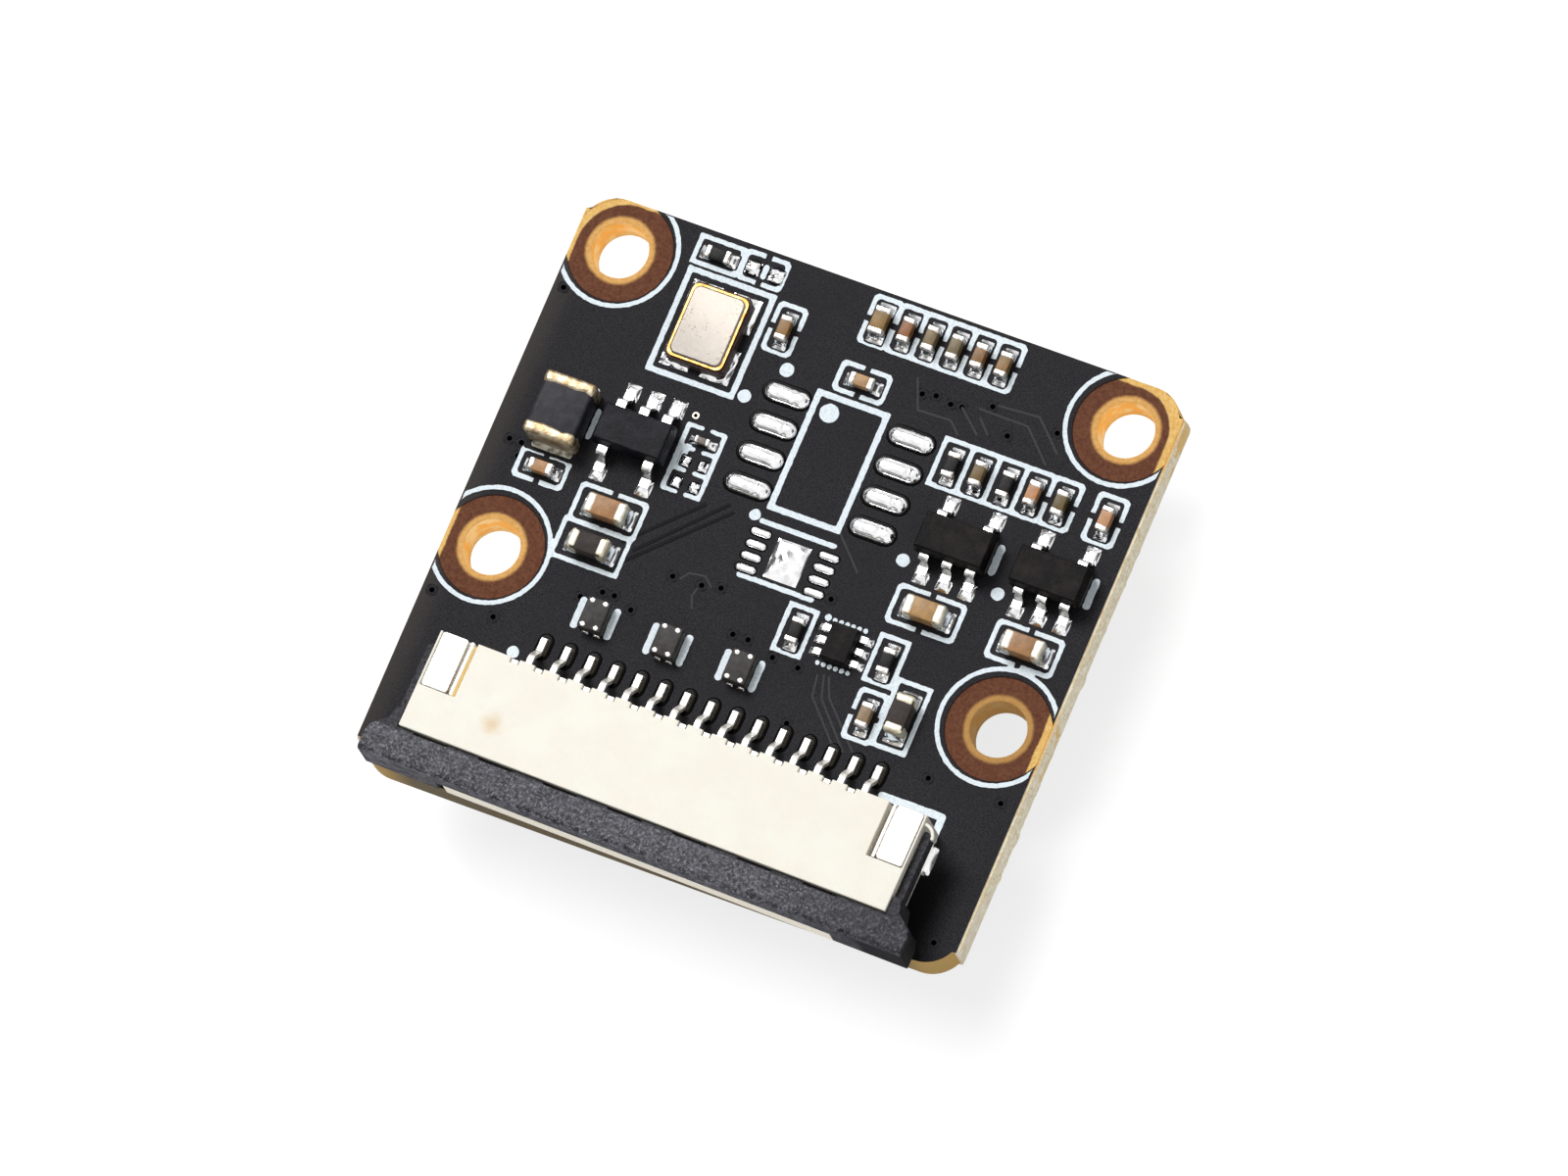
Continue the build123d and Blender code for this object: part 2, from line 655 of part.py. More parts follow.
def ffc_housing():
    """Moulded housing, open at the front, with a groove at the rear for each contact."""
    half, depth = FFC_HALF_W, FFC_DEPTH
    body = block(-half, half, -depth, 0, FFC_STANDOFF, FFC_H)
    lip_front = -depth - FFC_LIP_OUT
    lip = block(-FFC_LIP_HALF_W, FFC_LIP_HALF_W, lip_front, -depth, FFC_STANDOFF, FFC_FLOOR_H)
    lip = chamfer(lip.edges().filter_by(Axis.X).group_by(Axis.Y)[0].sort_by(Axis.Z)[-1], FFC_LIP_EDGE)
    body += lip
    slot_top = FFC_H - FFC_ROOF_T
    body -= block(-FFC_SLOT_HALF_W, FFC_SLOT_HALF_W, -depth - 5, -FFC_REAR_WALL, FFC_FLOOR_H, slot_top)
    for u in pin_places():
        left, right = u - FFC_GROOVE_W / 2, u + FFC_GROOVE_W / 2
        body -= block(left, right, -FFC_GROOVE_D, 1, FFC_STANDOFF - 1, FFC_H + 1)
        body -= block(
            left, right, -FFC_REAR_WALL - FFC_SLOT_REACH, 1, FFC_FLOOR_H, FFC_FLOOR_H + 2 * PIN_BEAM_T)
    lug_z0 = ARM_BOTTOM + LUG_INSET - LUG_CLEAR
    lug_z1 = ARM_TOP - LUG_INSET + LUG_CLEAR
    lug_groove = block(
        half - LUG_D - LUG_CLEAR, half + 1, -LUG_BACK - LUG_L / 2 - LUG_TRAVEL_ROOM,
        -LUG_BACK + LUG_L / 2 + LUG_CLEAR, lug_z0, lug_z1)
    front = -HOLD_L - HOLD_CLEAR
    under_tab = FFC_H - HOLD_T - HOLD_CLEAR
    pocket = block(
        HOLD_INNER_U - HOLD_POCKET_GAP, HOLD_OUTER_U + HOLD_CLEAR, front, 1, under_tab, FFC_H + 1)
    link_end = HOLD_INNER_U + 2 * HOLD_T + HOLD_FOLD_GAP + HOLD_CLEAR
    pocket += block(HOLD_INNER_U - HOLD_POCKET_GAP, link_end, front, 1, under_tab - HOLD_T, FFC_H)
    fold_low = FFC_H - HOLD_FOLD_H - HOLD_CLEAR
    fold_end = HOLD_INNER_U + HOLD_T + HOLD_CLEAR
    pocket += block(HOLD_INNER_U - HOLD_POCKET_GAP, fold_end, front, 1, fold_low, FFC_H)
    leg_in, leg_out = HOLD_LEG_U - HOLD_CLEAR, HOLD_LEG_U + HOLD_T + HOLD_CLEAR
    leg_back, leg_front = -HOLD_LEG_BACK + HOLD_CLEAR, -HOLD_LEG_BACK - HOLD_LEG_L - HOLD_CLEAR
    leg_slot = block(leg_in, leg_out, leg_front, leg_back, -1, FFC_H)
    leg_slot += block(leg_in, half + 1, leg_front, leg_back, -1, HOLD_STEP_Z + HOLD_T + HOLD_CLEAR)
    for cut in (lug_groove, pocket, leg_slot):
        for shape in mirror_pair(cut):
            body -= shape
    body += Pos(half, -EAR_BACK, ARM_TOP + EAR_RISE) * extrude(ear_plan(), amount=EAR_H)
    return seat_connector(body)


def ffc_contacts():
    """Stamped contacts: a formed tail, a spine in the rear wall and a beam over the floor."""
    groove_back = -FFC_GROOVE_D
    spine_front = groove_back + PIN_T
    tail = FilletPolyline(
        (spine_front, PIN_RISE_Z),
        (PIN_TAIL - PIN_FOOT_L - PIN_SLOPE, PIN_RISE_Z),
        (PIN_TAIL - PIN_FOOT_L, PAD_T + PIN_T / 2),
        (PIN_TAIL, PAD_T + PIN_T / 2),
        radius=PIN_T * 1.1,
    )
    side = Plane.YZ * trace(tail, PIN_T)
    contact = extrude(side, amount=PIN_W / 2, both=True)
    contact += block(
        -PIN_W / 2, PIN_W / 2, groove_back, spine_front, PIN_RISE_Z - PIN_T, FFC_H - PIN_BELOW_TOP)
    beam_end = groove_back - PIN_BEAM_L
    contact += block(
        -PIN_W / 2, PIN_W / 2, beam_end, groove_back, FFC_FLOOR_H, FFC_FLOOR_H + PIN_BEAM_T)
    foot_y = PIN_TAIL - PIN_FOOT_L / 2
    foot_land = block(
        -PIN_LAND_W / 2, PIN_LAND_W / 2, foot_y - PIN_LAND_L / 2, foot_y + PIN_LAND_L / 2, 0, PAD_T)
    contacts = []
    for u in pin_places():
        contacts.append(seat_connector(Pos(u, 0, 0) * contact))
        solder.append(seat_connector(Pos(u, 0, 0) * foot_land))
    return group(*contacts)


def hold_downs():
    """Folded tabs that anchor the two ends of the connector to the board."""
    top_z = FFC_H - HOLD_T
    plate_in = HOLD_INNER_U + HOLD_T + HOLD_FOLD_GAP
    plate_u = (plate_in + HOLD_OUTER_U) / 2
    tab = plate(plate_u, -HOLD_L / 2, HOLD_OUTER_U - plate_in, HOLD_L, HOLD_CORNER_R, top_z, FFC_H)
    fold_out = HOLD_INNER_U + HOLD_T
    tab += block(HOLD_INNER_U, fold_out, -HOLD_L, 0, FFC_H - HOLD_FOLD_H, FFC_H - HOLD_FOLD_DROP)
    link_front, link_back = -HOLD_L + HOLD_CORNER_R, -HOLD_CORNER_R
    tab += block(HOLD_INNER_U, plate_in + HOLD_T, link_front, link_back, top_z - HOLD_T, top_z)
    leg_front, leg_back = -HOLD_LEG_BACK - HOLD_LEG_L, -HOLD_LEG_BACK
    step_top = HOLD_STEP_Z + HOLD_T
    tab += block(HOLD_LEG_U, HOLD_LEG_U + HOLD_T, leg_front, leg_back, HOLD_STEP_Z, top_z)
    tab += block(HOLD_LEG_U, HOLD_FOOT_U, leg_front, leg_back, HOLD_STEP_Z, step_top)
    tab += block(HOLD_FOOT_U - HOLD_T, HOLD_FOOT_U, leg_front, leg_back, PAD_T, step_top)
    foot_land = block(
        HOLD_LEG_U, HOLD_FOOT_U + HOLD_LAND_OUT, leg_front - HOLD_T, leg_back + HOLD_T, 0, FFC_STANDOFF)
    toe_land = block(
        FFC_HALF_W + HOLD_CLEAR, HOLD_FOOT_U + HOLD_LAND_OUT, leg_front - HOLD_T, leg_back + HOLD_T,
        FFC_STANDOFF, PAD_T)
    for shape in (*mirror_pair(foot_land), *mirror_pair(toe_land)):
        solder.append(seat_connector(shape))
    return group(*[seat_connector(shape) for shape in mirror_pair(tab)])


def ffc_latch():
    """Sliding latch: a bar across the mouth, a tongue inside and an arm along each end."""
    rear = -FFC_DEPTH - LATCH_GAP
    front = rear - LATCH_BAR_D
    arm_in = FFC_HALF_W + LATCH_GAP
    arm_out = arm_in + ARM_T
    half = LATCH_HALF_W
    knee = rear + ARM_FLARE
    right = [(arm_out, knee), (arm_out + 0.15, rear + 0.2), (half - 0.1, rear - 0.25), (half, rear - 0.6)]
    left = [(-u, v) for u, v in reversed(right)]
    outline = Polyline(
        (-arm_in, rear), (arm_in, rear), (arm_in, knee), *right,
        (half, front), (-half, front), *left, (-arm_in, knee), close=True)
    bar = Pos(0, 0, LATCH_END_Z) * extrude(make_face(outline), amount=LATCH_H - LATCH_END_Z)
    front_top = bar.edges().filter_by(Axis.X).group_by(Axis.Y)[0].sort_by(Axis.Z)[-1]
    bar = fillet(front_top, LATCH_EDGE_R)
    bar -= block(
        -LATCH_MOUTH_HALF_W, LATCH_MOUTH_HALF_W, front - 1, rear + 1, LATCH_END_Z - 1, LATCH_MOUTH_Z)
    for number in range(LATCH_RECESSES):
        start = (number - LATCH_RECESSES / 2) * LATCH_RECESS_PITCH
        end = start + LATCH_RECESS_L
        bar -= block(start, end, rear - LATCH_RECESS_D, rear + 1, FFC_H - FFC_ROOF_T, FFC_H + 1)
    tongue_top = FFC_H - FFC_ROOF_T - TONGUE_CLEAR
    bar += block(
        -TONGUE_HALF_W, TONGUE_HALF_W, rear - TONGUE_T, rear + TONGUE_L, tongue_top - TONGUE_T, tongue_top)
    arm = block(arm_in, arm_out, knee - ARM_FLARE, -ARM_REAR, ARM_BOTTOM, ARM_TOP)
    rear_corner = arm.edges().filter_by(Axis.Z).group_by(Axis.Y)[-1].sort_by(Axis.X)[-1]
    arm = fillet(rear_corner, ARM_END_R)
    arm += block(
        FFC_HALF_W - LUG_D, arm_in, -LUG_BACK - LUG_L / 2, -LUG_BACK + LUG_L / 2,
        ARM_BOTTOM + LUG_INSET, ARM_TOP - LUG_INSET)
    for shape in mirror_pair(arm):
        bar += shape
    return seat_connector(bar)


def frame_line(cx, cy, half_w, half_l, radius, line=PRINT_LINE, split=""):
    """Printed frame round a part, open at its middle where split names an axis."""
    corner = radius * 0.6
    outer = eased(2 * half_w, 2 * half_l, corner)
    inner = eased(2 * (half_w - line), 2 * (half_l - line), corner * 0.5)
    ring = outer - inner
    if split == "x":
        ring -= Rectangle(4 * half_w, PRINT_GAP)
    if split == "y":
        ring -= Rectangle(PRINT_GAP, 4 * half_l)
    return Pos(cx + PRINT_SHIFT_X, cy + PRINT_SHIFT_Y) * ring


def bar(cx, cy, width, length):
    """Printed straight bar with eased ends."""
    return Pos(cx, cy) * eased(width, length, BAR_END)


def silkscreen():
    """White print: frames round the parts, pin-one dots and rings round the holes."""
    print_face = Sketch()
    for x, y in HOLES:
        ring = Circle(PRINT_RING_R + PRINT_LINE / 2) - Circle(PRINT_RING_R - PRINT_LINE / 2)
        print_face += Pos(x + PRINT_SHIFT_X, y + PRINT_SHIFT_Y) * ring
    for frame in print_frames:
        print_face += frame
    inner_w = BOARD_W - 2 * (ROUTED_INSET + PRINT_EDGE_CLEAR)
    inner_l = BOARD_L - 2 * PRINT_EDGE_CLEAR
    mid_y = (TOP_EDGE_Y + BOTTOM_EDGE_Y) / 2
    print_face &= Pos(0, mid_y) * RectangleRounded(inner_w, inner_l, CORNER_R)
    for x, y in HOLES:
        print_face -= Pos(x, y) * Circle(BARE_RING_R + 0.01)
    for x, y, w, l in pads:
        print_face -= Pos(x, y) * Rectangle(w + 2 * PRINT_CLEAR, l + 2 * PRINT_CLEAR)
    return extrude(Pos(0, 0, TOP) * print_face, amount=PRINT_T)


def lens_module():
    """Foam pad, rigid base with its flex tail, sensor, filter glass, holder and lens."""
    foam_z = UNDER - PAD_FOAM_T
    base_z = foam_z - BASE_T
    side = MODULE_SIDE
    NODES["foam_pad"] = plate(0, LENS_Y, side, side, 0.3, foam_z, UNDER)
    base = plate(0, LENS_Y, side, side, 0.3, base_z, foam_z)
    tail_z = UNDER - SOCKET_T - PLUG_T - TAIL_T
    tail_start = LENS_Y + side / 2 - 0.4
    tail_end = PLUG_Y + PLUG_L / 2 + 0.2
    tail = block(-TAIL_W / 2, TAIL_W / 2, tail_start, tail_end, tail_z, tail_z + TAIL_T)
    tail += plate(0, PLUG_Y, PLUG_W + 0.6, PLUG_L + 0.6, 0.3, tail_z, tail_z + TAIL_T)
    NODES["sensor_base_and_tail"] = base + tail
    NODES["board_socket"] = (
        plate(0, PLUG_Y, PLUG_W, PLUG_L, 0.15, UNDER - SOCKET_T, UNDER)
        - plate(0, PLUG_Y, PLUG_W - 2 * SOCKET_WALL, PLUG_L - 2 * SOCKET_WALL, 0.1,
                UNDER - SOCKET_T - 1, UNDER - SOCKET_WALL / 2)
    )
    plug_body = plate(0, PLUG_Y, PLUG_W, PLUG_L, 0.15, tail_z + TAIL_T, UNDER - SOCKET_T)
    plug_tongue_w = PLUG_W - 2 * SOCKET_WALL - 0.06
    plug_tongue_l = PLUG_L - 2 * SOCKET_WALL - 0.06
    plug_body += plate(0, PLUG_Y, plug_tongue_w, plug_tongue_l, 0.1,
                       UNDER - SOCKET_T - 0.05, UNDER - SOCKET_WALL / 2 - 0.03)
    NODES["tail_plug"] = plug_body
    NODES["image_sensor"] = plate(0, LENS_Y, SENSOR_W, SENSOR_L, 0.1, base_z - SENSOR_T, base_z)
    glass_top = base_z - SENSOR_T - FILTER_GLASS_UP
    glass_low = glass_top - FILTER_GLASS_T
    NODES["filter_glass"] = plate(
        0, LENS_Y, FILTER_GLASS_SIDE, FILTER_GLASS_SIDE, 0.1, glass_low, glass_top)
    roof_z = base_z - HOLDER_H
    holder = plate(0, LENS_Y, side, side, HOLDER_R, roof_z, base_z)
    holder = chamfer(holder.faces().sort_by(Axis.Z)[0].edges(), 0.2)
    holder += disc(0, LENS_Y, BOSS_D / 2, roof_z - BOSS_H, roof_z)
    cavity = side - 2 * HOLDER_WALL
    holder -= plate(0, LENS_Y, cavity, cavity, 0.3, glass_low, base_z + 1)
    holder -= disc(0, LENS_Y, BARREL_D / 2 + BARREL_FIT, roof_z - 5, base_z + 1)
    NODES["lens_holder"] = holder
    flange_low = roof_z - BOSS_H - BARREL_OUT
    barrel_top = glass_low - BARREL_TO_GLASS
    barrel = disc(0, LENS_Y, BARREL_D / 2, flange_low, barrel_top)
    barrel += disc(0, LENS_Y, BARREL_FLANGE_D / 2, flange_low, flange_low + BARREL_FLANGE_T)
    barrel = chamfer(barrel.faces().sort_by(Axis.Z)[0].edges(), 0.12)
    cone = Cone(CONE_D / 2, APERTURE_D / 2, CONE_DEPTH)
    barrel -= Pos(0, LENS_Y, flange_low + CONE_DEPTH / 2) * cone
    barrel -= disc(0, LENS_Y, APERTURE_D / 2, flange_low, barrel_top)
    stop_z = flange_low + CONE_DEPTH + APERTURE_WEB
    barrel -= disc(0, LENS_Y, BARREL_BORE_D / 2, stop_z, barrel_top + 1)
    NODES["lens_barrel"] = barrel
    front_z = stop_z
    front = disc(0, LENS_Y, GLASS_D / 2, front_z, front_z + FRONT_GLASS_T)
    dome_r = (APERTURE_D ** 2 / 4 + GLASS_BULGE ** 2) / (2 * GLASS_BULGE)
    dome = Pos(0, LENS_Y, front_z - GLASS_BULGE + dome_r) * Sphere(dome_r)
    dome &= disc(0, LENS_Y, APERTURE_D / 2 - 0.02, front_z - GLASS_BULGE - 1, front_z + 0.1)
    NODES["front_lens"] = front + dome
    rear_z = front_z + FRONT_GLASS_T
    NODES["rear_lens"] = disc(0, LENS_Y, GLASS_D / 2, rear_z, rear_z + REAR_GLASS_T)


solder = []
print_frames = []

NODES["board"] = board()
crystal()
inductor()
regulator("right_regulator", REG_RIGHT_X, REG_ROW_Y, REG_SPAN, (-1, 1), (-1, 0, 1))
regulator("middle_regulator", REG_MIDDLE_X, REG_ROW_Y, REG_SPAN, (-1, 1), (-1, 0, 1))
regulator("left_regulator", REG_LEFT_X, REG_LEFT_Y, REG_LEFT_SPAN, (-1, 0, 1), (-1, 1))
six_lead_chip()
for number in range(3):
    line_filter(f"line_filter_{number + 1}", FILTER_FIRST_X + number * FILTER_PITCH)

# Small capacitors: the row of six at the top edge, the second row, and the lone ones
add_chip("top_cap_1", TOP_ROW_FIRST_X, TOP_ROW_Y, 90, BIG_CAP_L, BIG_CAP_W, CAP_H, CAP_BAND)
print_frames.append(
    frame_line(TOP_ROW_FIRST_X, TOP_ROW_Y, CELL_HALF_W, CELL_HALF_L, CELL_CORNER_R, split="x"))
for number in range(TOP_ROW_COUNT):
    x = TOP_ROW_SECOND_X + number * TOP_ROW_PITCH
    add_chip(f"top_cap_{number + 2}", x, TOP_ROW_Y, 90, CAP_L, CAP_W, CAP_H, CAP_BAND)
    print_frames.append(frame_line(x, TOP_ROW_Y, CELL_HALF_W, CELL_HALF_L, CELL_CORNER_R, split="x"))
second_row = ("resistor_1", "row_cap_1", "resistor_2", "row_cap_2", "row_cap_3")
for number, name in enumerate(second_row):
    x = SECOND_ROW_FIRST_X + number * SECOND_ROW_PITCH
    if name.startswith("resistor"):
        add_chip(name, x, SECOND_ROW_Y, 90, CAP_L, CAP_W, RES_H, RES_BAND)
        opening, corner = "", SQUARE_CORNER
    else:
        add_chip(name, x, SECOND_ROW_Y, 90, CAP_L, CAP_W, CAP_H, CAP_BAND)
        opening, corner = "x", CELL_CORNER_R
    print_frames.append(frame_line(x, SECOND_ROW_Y, CELL_WIDE_HALF_W, CELL_HALF_L, corner, split=opening))

# name, x, y, turn about Z, kind of chip, half size of its printed frame, its split
LONE_CHIPS = [
    ("lone_cap_1", LONE_CAP_X, SECOND_ROW_Y, 90, "cap", CELL_WIDE_HALF_W, CELL_HALF_L, "x"),
    ("lone_cap_2", -3.25, 5.43, 90, "cap", 0.65, 1.06, "x"),
    ("lone_cap_3", 0.38, 4.5, 0, "cap", 1.09, 0.67, "y"),
    ("lone_cap_4", -9.86, -2.79, 0, "cap", 1.08, 0.67, "y"),
    ("lone_cap_5", 5.62, -7.57, 90, "cap", 0.66, 1.09, "x"),
    ("resistor_3", -6.8, 7.29, 0, "res", 1.0, 0.65, ""),
    ("resistor_4", 1.78, -5.38, 90, "res", 0.66, 1.05, ""),
    ("resistor_5", 5.53, -5.3, 90, "res", 0.68, 1.04, ""),
    ("large_cap_1", 6.21, -3.06, 0, "large", 1.46, 0.85, "y"),
    ("large_cap_2", 10.28, -3.06, 0, "large", 1.43, 0.84, "y"),
    ("large_cap_3", -6.78, -3.51, 0, "large", 1.45, 0.85, "y"),
    ("bead_1", -6.86, -5.02, 0, "bead", 1.46, 0.88, ""),
    ("bead_2", 6.93, -7.13, 90, "bead", 0.77, 1.45, ""),
]
CHIP_SIZES = {
    "cap": (CAP_L, CAP_W, CAP_H, CAP_BAND),
    "res": (CAP_L, CAP_W, RES_H, RES_BAND),
    "large": (LARGE_L, LARGE_W, LARGE_H, LARGE_BAND),
    "bead": (BEAD_L, LARGE_W, LARGE_H, LARGE_BAND),
}
for name, x, y, turn, kind, half_w, half_l, opening in LONE_CHIPS:
    add_chip(name, x, y, turn, *CHIP_SIZES[kind])
    corner = CELL_CORNER_R if opening else SQUARE_CORNER
    print_frames.append(frame_line(x, y, half_w, half_l, corner, split=opening))
add_chip("tiny_cap", TINY_X, TINY_Y, 0, TINY_L, TINY_W, TINY_H, TINY_BAND)

NODES["spare_pads"] = spare_pads()
NODES["ffc_housing"] = ffc_housing()
NODES["ffc_contacts"] = ffc_contacts()
NODES["ffc_hold_downs"] = hold_downs()
NODES["ffc_latch"] = ffc_latch()
lens_module()

# The rest of the print: crystal, empty places, regulators, filters and connector
shift_x, shift_y, half_w, half_l = CRYSTAL_FRAME
print_frames.append(
    frame_line(CRYSTAL_X + shift_x, CRYSTAL_Y + shift_y, half_w, half_l, SQUARE_CORNER, line=CRYSTAL_LINE))
print_frames.append(
    frame_line(
        SPARE_EIGHT_X, SPARE_EIGHT_Y, EIGHT_FRAME_HALF_W, EIGHT_FRAME_HALF_L, SQUARE_CORNER, line=EIGHT_LINE))
print_frames.append(
    frame_line(
        SPARE_CAP_X, SPARE_CAP_Y, SPARE_CAP_FRAME_HALF_W, SPARE_CAP_FRAME_HALF_L, CELL_CORNER_R, split="y"))
print_frames.append(bar(SPARE_CAP_X, SPARE_CAP_Y, SPARE_CAP_BAR_W, SPARE_CAP_BAR_L))
for offset in DFN_BARS_Y:
    print_frames.append(bar(SPARE_DFN_X + DFN_BAR_X, SPARE_DFN_Y + offset, DFN_BAR_L, PRINT_LINE))
comb_x = TINY_X + COMB_X
for number in range(4):
    comb_y = TINY_Y + (0.5 - number) * TINY_PITCH + COMB_Y
    for side in (-1, 1):
        print_frames.append(bar(comb_x + side * COMB_BAR_OUT, comb_y, COMB_BAR_L, COMB_LINE))
for x, y in ((REG_MIDDLE_X, REG_ROW_Y), (REG_RIGHT_X, REG_ROW_Y)):
    print_frames.append(bar(x + REG_BAR_X, y + REG_BAR_Y, PRINT_LINE, REG_BAR_L))
    print_frames.append(Pos(x + REG_DOT[0], y + REG_DOT[1]) * Circle(DOT_R))
for side in (-1, 1):
    print_frames.append(bar(comb_x + side * COMB_SIDE_X, TINY_Y + COMB_SIDE_Y, PRINT_LINE, COMB_SIDE_L))
    print_frames.append(bar(REG_LEFT_X + side * REG_LEFT_BAR_X, REG_LEFT_Y, PRINT_LINE, REG_BAR_L))
    for number in range(3):
        x = FILTER_FIRST_X + number * FILTER_PITCH + side * FILTER_BAR_X + PRINT_SHIFT_X
        print_frames.append(bar(x, FILTER_Y, PRINT_LINE, FILTER_BAR_L))
    for number in range(SIX_BLOBS):
        x = SIX_X + (number - (SIX_BLOBS - 1) / 2) * SIX_BLOB_PITCH
        print_frames.append(bar(x, SIX_Y + side * SIX_BLOB_Y, SIX_BLOB, SIX_BLOB))
    x = side * (FFC_HALF_W - CONNECTOR_BAR_IN) + FFC_X
    print_frames.append(bar(x, FFC_REAR_Y, CONNECTOR_LINE, CONNECTOR_BAR_L))
    corner_y = FFC_REAR_Y + (CONNECTOR_BAR_L - CONNECTOR_LINE) / 2
    print_frames.append(bar(x - side * CONNECTOR_CORNER_L / 2, corner_y, CONNECTOR_CORNER_L, CONNECTOR_LINE))
# x, y and radius of the pin-one dots
for x, y, radius in (
    (-3.73, 2.53, DOT_R), (-2.6, 4.03, 0.31), (-0.4, 3.0, 0.41), (-1.5, -1.65, 0.2), (-8.08, -9.8, 0.27),
    (2.72, -4.43, 0.11),
):
    print_frames.append(Pos(x, y) * Circle(radius))
for u in pin_places():
    pads.append((FFC_X + u, FFC_REAR_Y + PIN_TAIL - PIN_FOOT_L / 2, PIN_CLEAR_W, PIN_CLEAR_L))

NODES["silkscreen"] = silkscreen()
NODES["solder_joints"] = group(*solder)

os.makedirs("parts", exist_ok=True)
for name, shape in NODES.items():
    export_step(shape, f"parts/{name}.step")
print(len(NODES), "pieces")
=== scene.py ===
# %% [markdown]
# A small camera board, dressed for a close photograph.
#
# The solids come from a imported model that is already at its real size. Here
# they get their finishes, and the small forms that solids are too plain for:
# solder that wets a pad, ink with a soft edge, chips with dipped ends. A
# finish could be painted as an image, but then it would blur this close up,
# so every finish below is worked out from the place on the part.

# %% Load the frame
import math
import bpy
import bmesh
from mathutils import Matrix, Vector, noise


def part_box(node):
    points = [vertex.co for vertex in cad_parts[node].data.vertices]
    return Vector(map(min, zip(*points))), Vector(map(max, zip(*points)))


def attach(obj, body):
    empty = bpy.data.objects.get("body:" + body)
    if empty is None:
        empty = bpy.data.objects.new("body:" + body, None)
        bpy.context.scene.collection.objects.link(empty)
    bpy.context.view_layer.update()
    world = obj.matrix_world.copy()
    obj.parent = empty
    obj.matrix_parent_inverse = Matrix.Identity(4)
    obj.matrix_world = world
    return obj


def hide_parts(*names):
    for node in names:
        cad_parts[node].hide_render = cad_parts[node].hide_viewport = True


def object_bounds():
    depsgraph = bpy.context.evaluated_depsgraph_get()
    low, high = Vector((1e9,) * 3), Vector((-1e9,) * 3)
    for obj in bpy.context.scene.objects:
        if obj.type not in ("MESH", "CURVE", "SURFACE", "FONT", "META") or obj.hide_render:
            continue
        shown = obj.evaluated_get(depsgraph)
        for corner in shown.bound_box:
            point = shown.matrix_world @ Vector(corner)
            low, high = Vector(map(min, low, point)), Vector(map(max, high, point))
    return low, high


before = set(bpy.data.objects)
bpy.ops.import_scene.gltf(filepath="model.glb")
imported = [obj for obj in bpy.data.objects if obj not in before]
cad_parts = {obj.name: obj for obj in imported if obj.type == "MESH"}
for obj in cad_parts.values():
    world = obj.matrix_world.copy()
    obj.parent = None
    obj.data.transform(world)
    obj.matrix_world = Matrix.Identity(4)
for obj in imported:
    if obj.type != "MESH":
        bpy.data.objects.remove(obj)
cad_low, cad_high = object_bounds()
MM = 0.001
BOARD = "camera_board"
print(len(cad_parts), "solids, box in mm:", [round(v / MM, 2) for v in (*cad_low, *cad_high)])

# %% [markdown]
# The camera. The board was photographed from above its lower right corner
# with a long lens, so its edges stay almost parallel. The camera could be
# placed by eye, but the four mounting holes are at known places, and they fix
# the lean, the turn and the distance. The lens has no shift: the camera is
# aimed a little past the board's middle instead.

# %% Camera
HOLE_PITCH_X = 21.0 * MM
HOLE_PITCH_Y = 12.5 * MM
BOARD_TOP = 0.8 * MM
LEAN_X = 0.2879
LEAN_Y = -0.2332
ROLL = math.radians(23.29)
DISTANCE = 0.777
FOCAL_PX = 21080.0
PHOTO_W = 1600
PHOTO_H = 1200
CENTRE_PX = (824.74, 498.36)
SENSOR_MM = 36.0

back = Vector((LEAN_X, LEAN_Y, 1)).normalized()
level_right = Vector((0, 1, 0)).cross(back).normalized()
level_up = back.cross(level_right)
photo_right = math.cos(ROLL) * level_right + math.sin(ROLL) * level_up
photo_up = -math.sin(ROLL) * level_right + math.cos(ROLL) * level_up
aim_right = (CENTRE_PX[0] - PHOTO_W / 2) / FOCAL_PX
aim_up = (PHOTO_H / 2 - CENTRE_PX[1]) / FOCAL_PX
aim = Vector((aim_right, aim_up, -1)).normalized()
swing = Vector((0, 0, -1)).rotation_difference(aim).to_matrix()
axes = swing @ Matrix((photo_right, photo_up, back))
camera_data = bpy.data.cameras.new("camera")
camera_data.sensor_width = SENSOR_MM
camera_data.lens = FOCAL_PX * SENSOR_MM / PHOTO_W
camera = bpy.data.objects.new("camera", camera_data)
camera_place = back * DISTANCE + Vector((0, 0, BOARD_TOP))
camera.matrix_world = Matrix.Translation(camera_place) @ axes.transposed().to_4x4()
bpy.context.scene.collection.objects.link(camera)
bpy.context.scene.camera = camera
print("lens", round(camera_data.lens, 1), "mm")

# %% [markdown]
# Colour and nodes. The colours are written as a screen shows them, from 0 to
# 255, because that is how they were judged, and a small function turns them
# into the linear light that the shaders want. Node trees could be wired by
# hand in the editor. A short helper that adds one node and plugs its sockets
# keeps each finish to a few readable lines.

# %% Helpers for finishes
def tone(red, green, blue):
    """Screen colour to linear light, with an alpha of one."""
    linear = []
    for value in (red, green, blue):
        share = value / 255
        linear.append(share / 12.92 if share <= 0.04045 else ((share + 0.055) / 1.055) ** 2.4)
    return (*linear, 1.0)


def plug(tree, socket, value):
    """Link a socket to another one, or write a constant on it."""
    if isinstance(value, bpy.types.NodeSocket):
        tree.links.new(value, socket)
    else:
        socket.default_value = value


def add_node(tree, kind, plugs, **settings):
    """Add one node, set it up and plug its sockets."""
    made = tree.nodes.new(kind)
    for key, value in settings.items():
        setattr(made, key, value)
    for socket, value in plugs.items():
        plug(tree, made.inputs[socket], value)
    return made


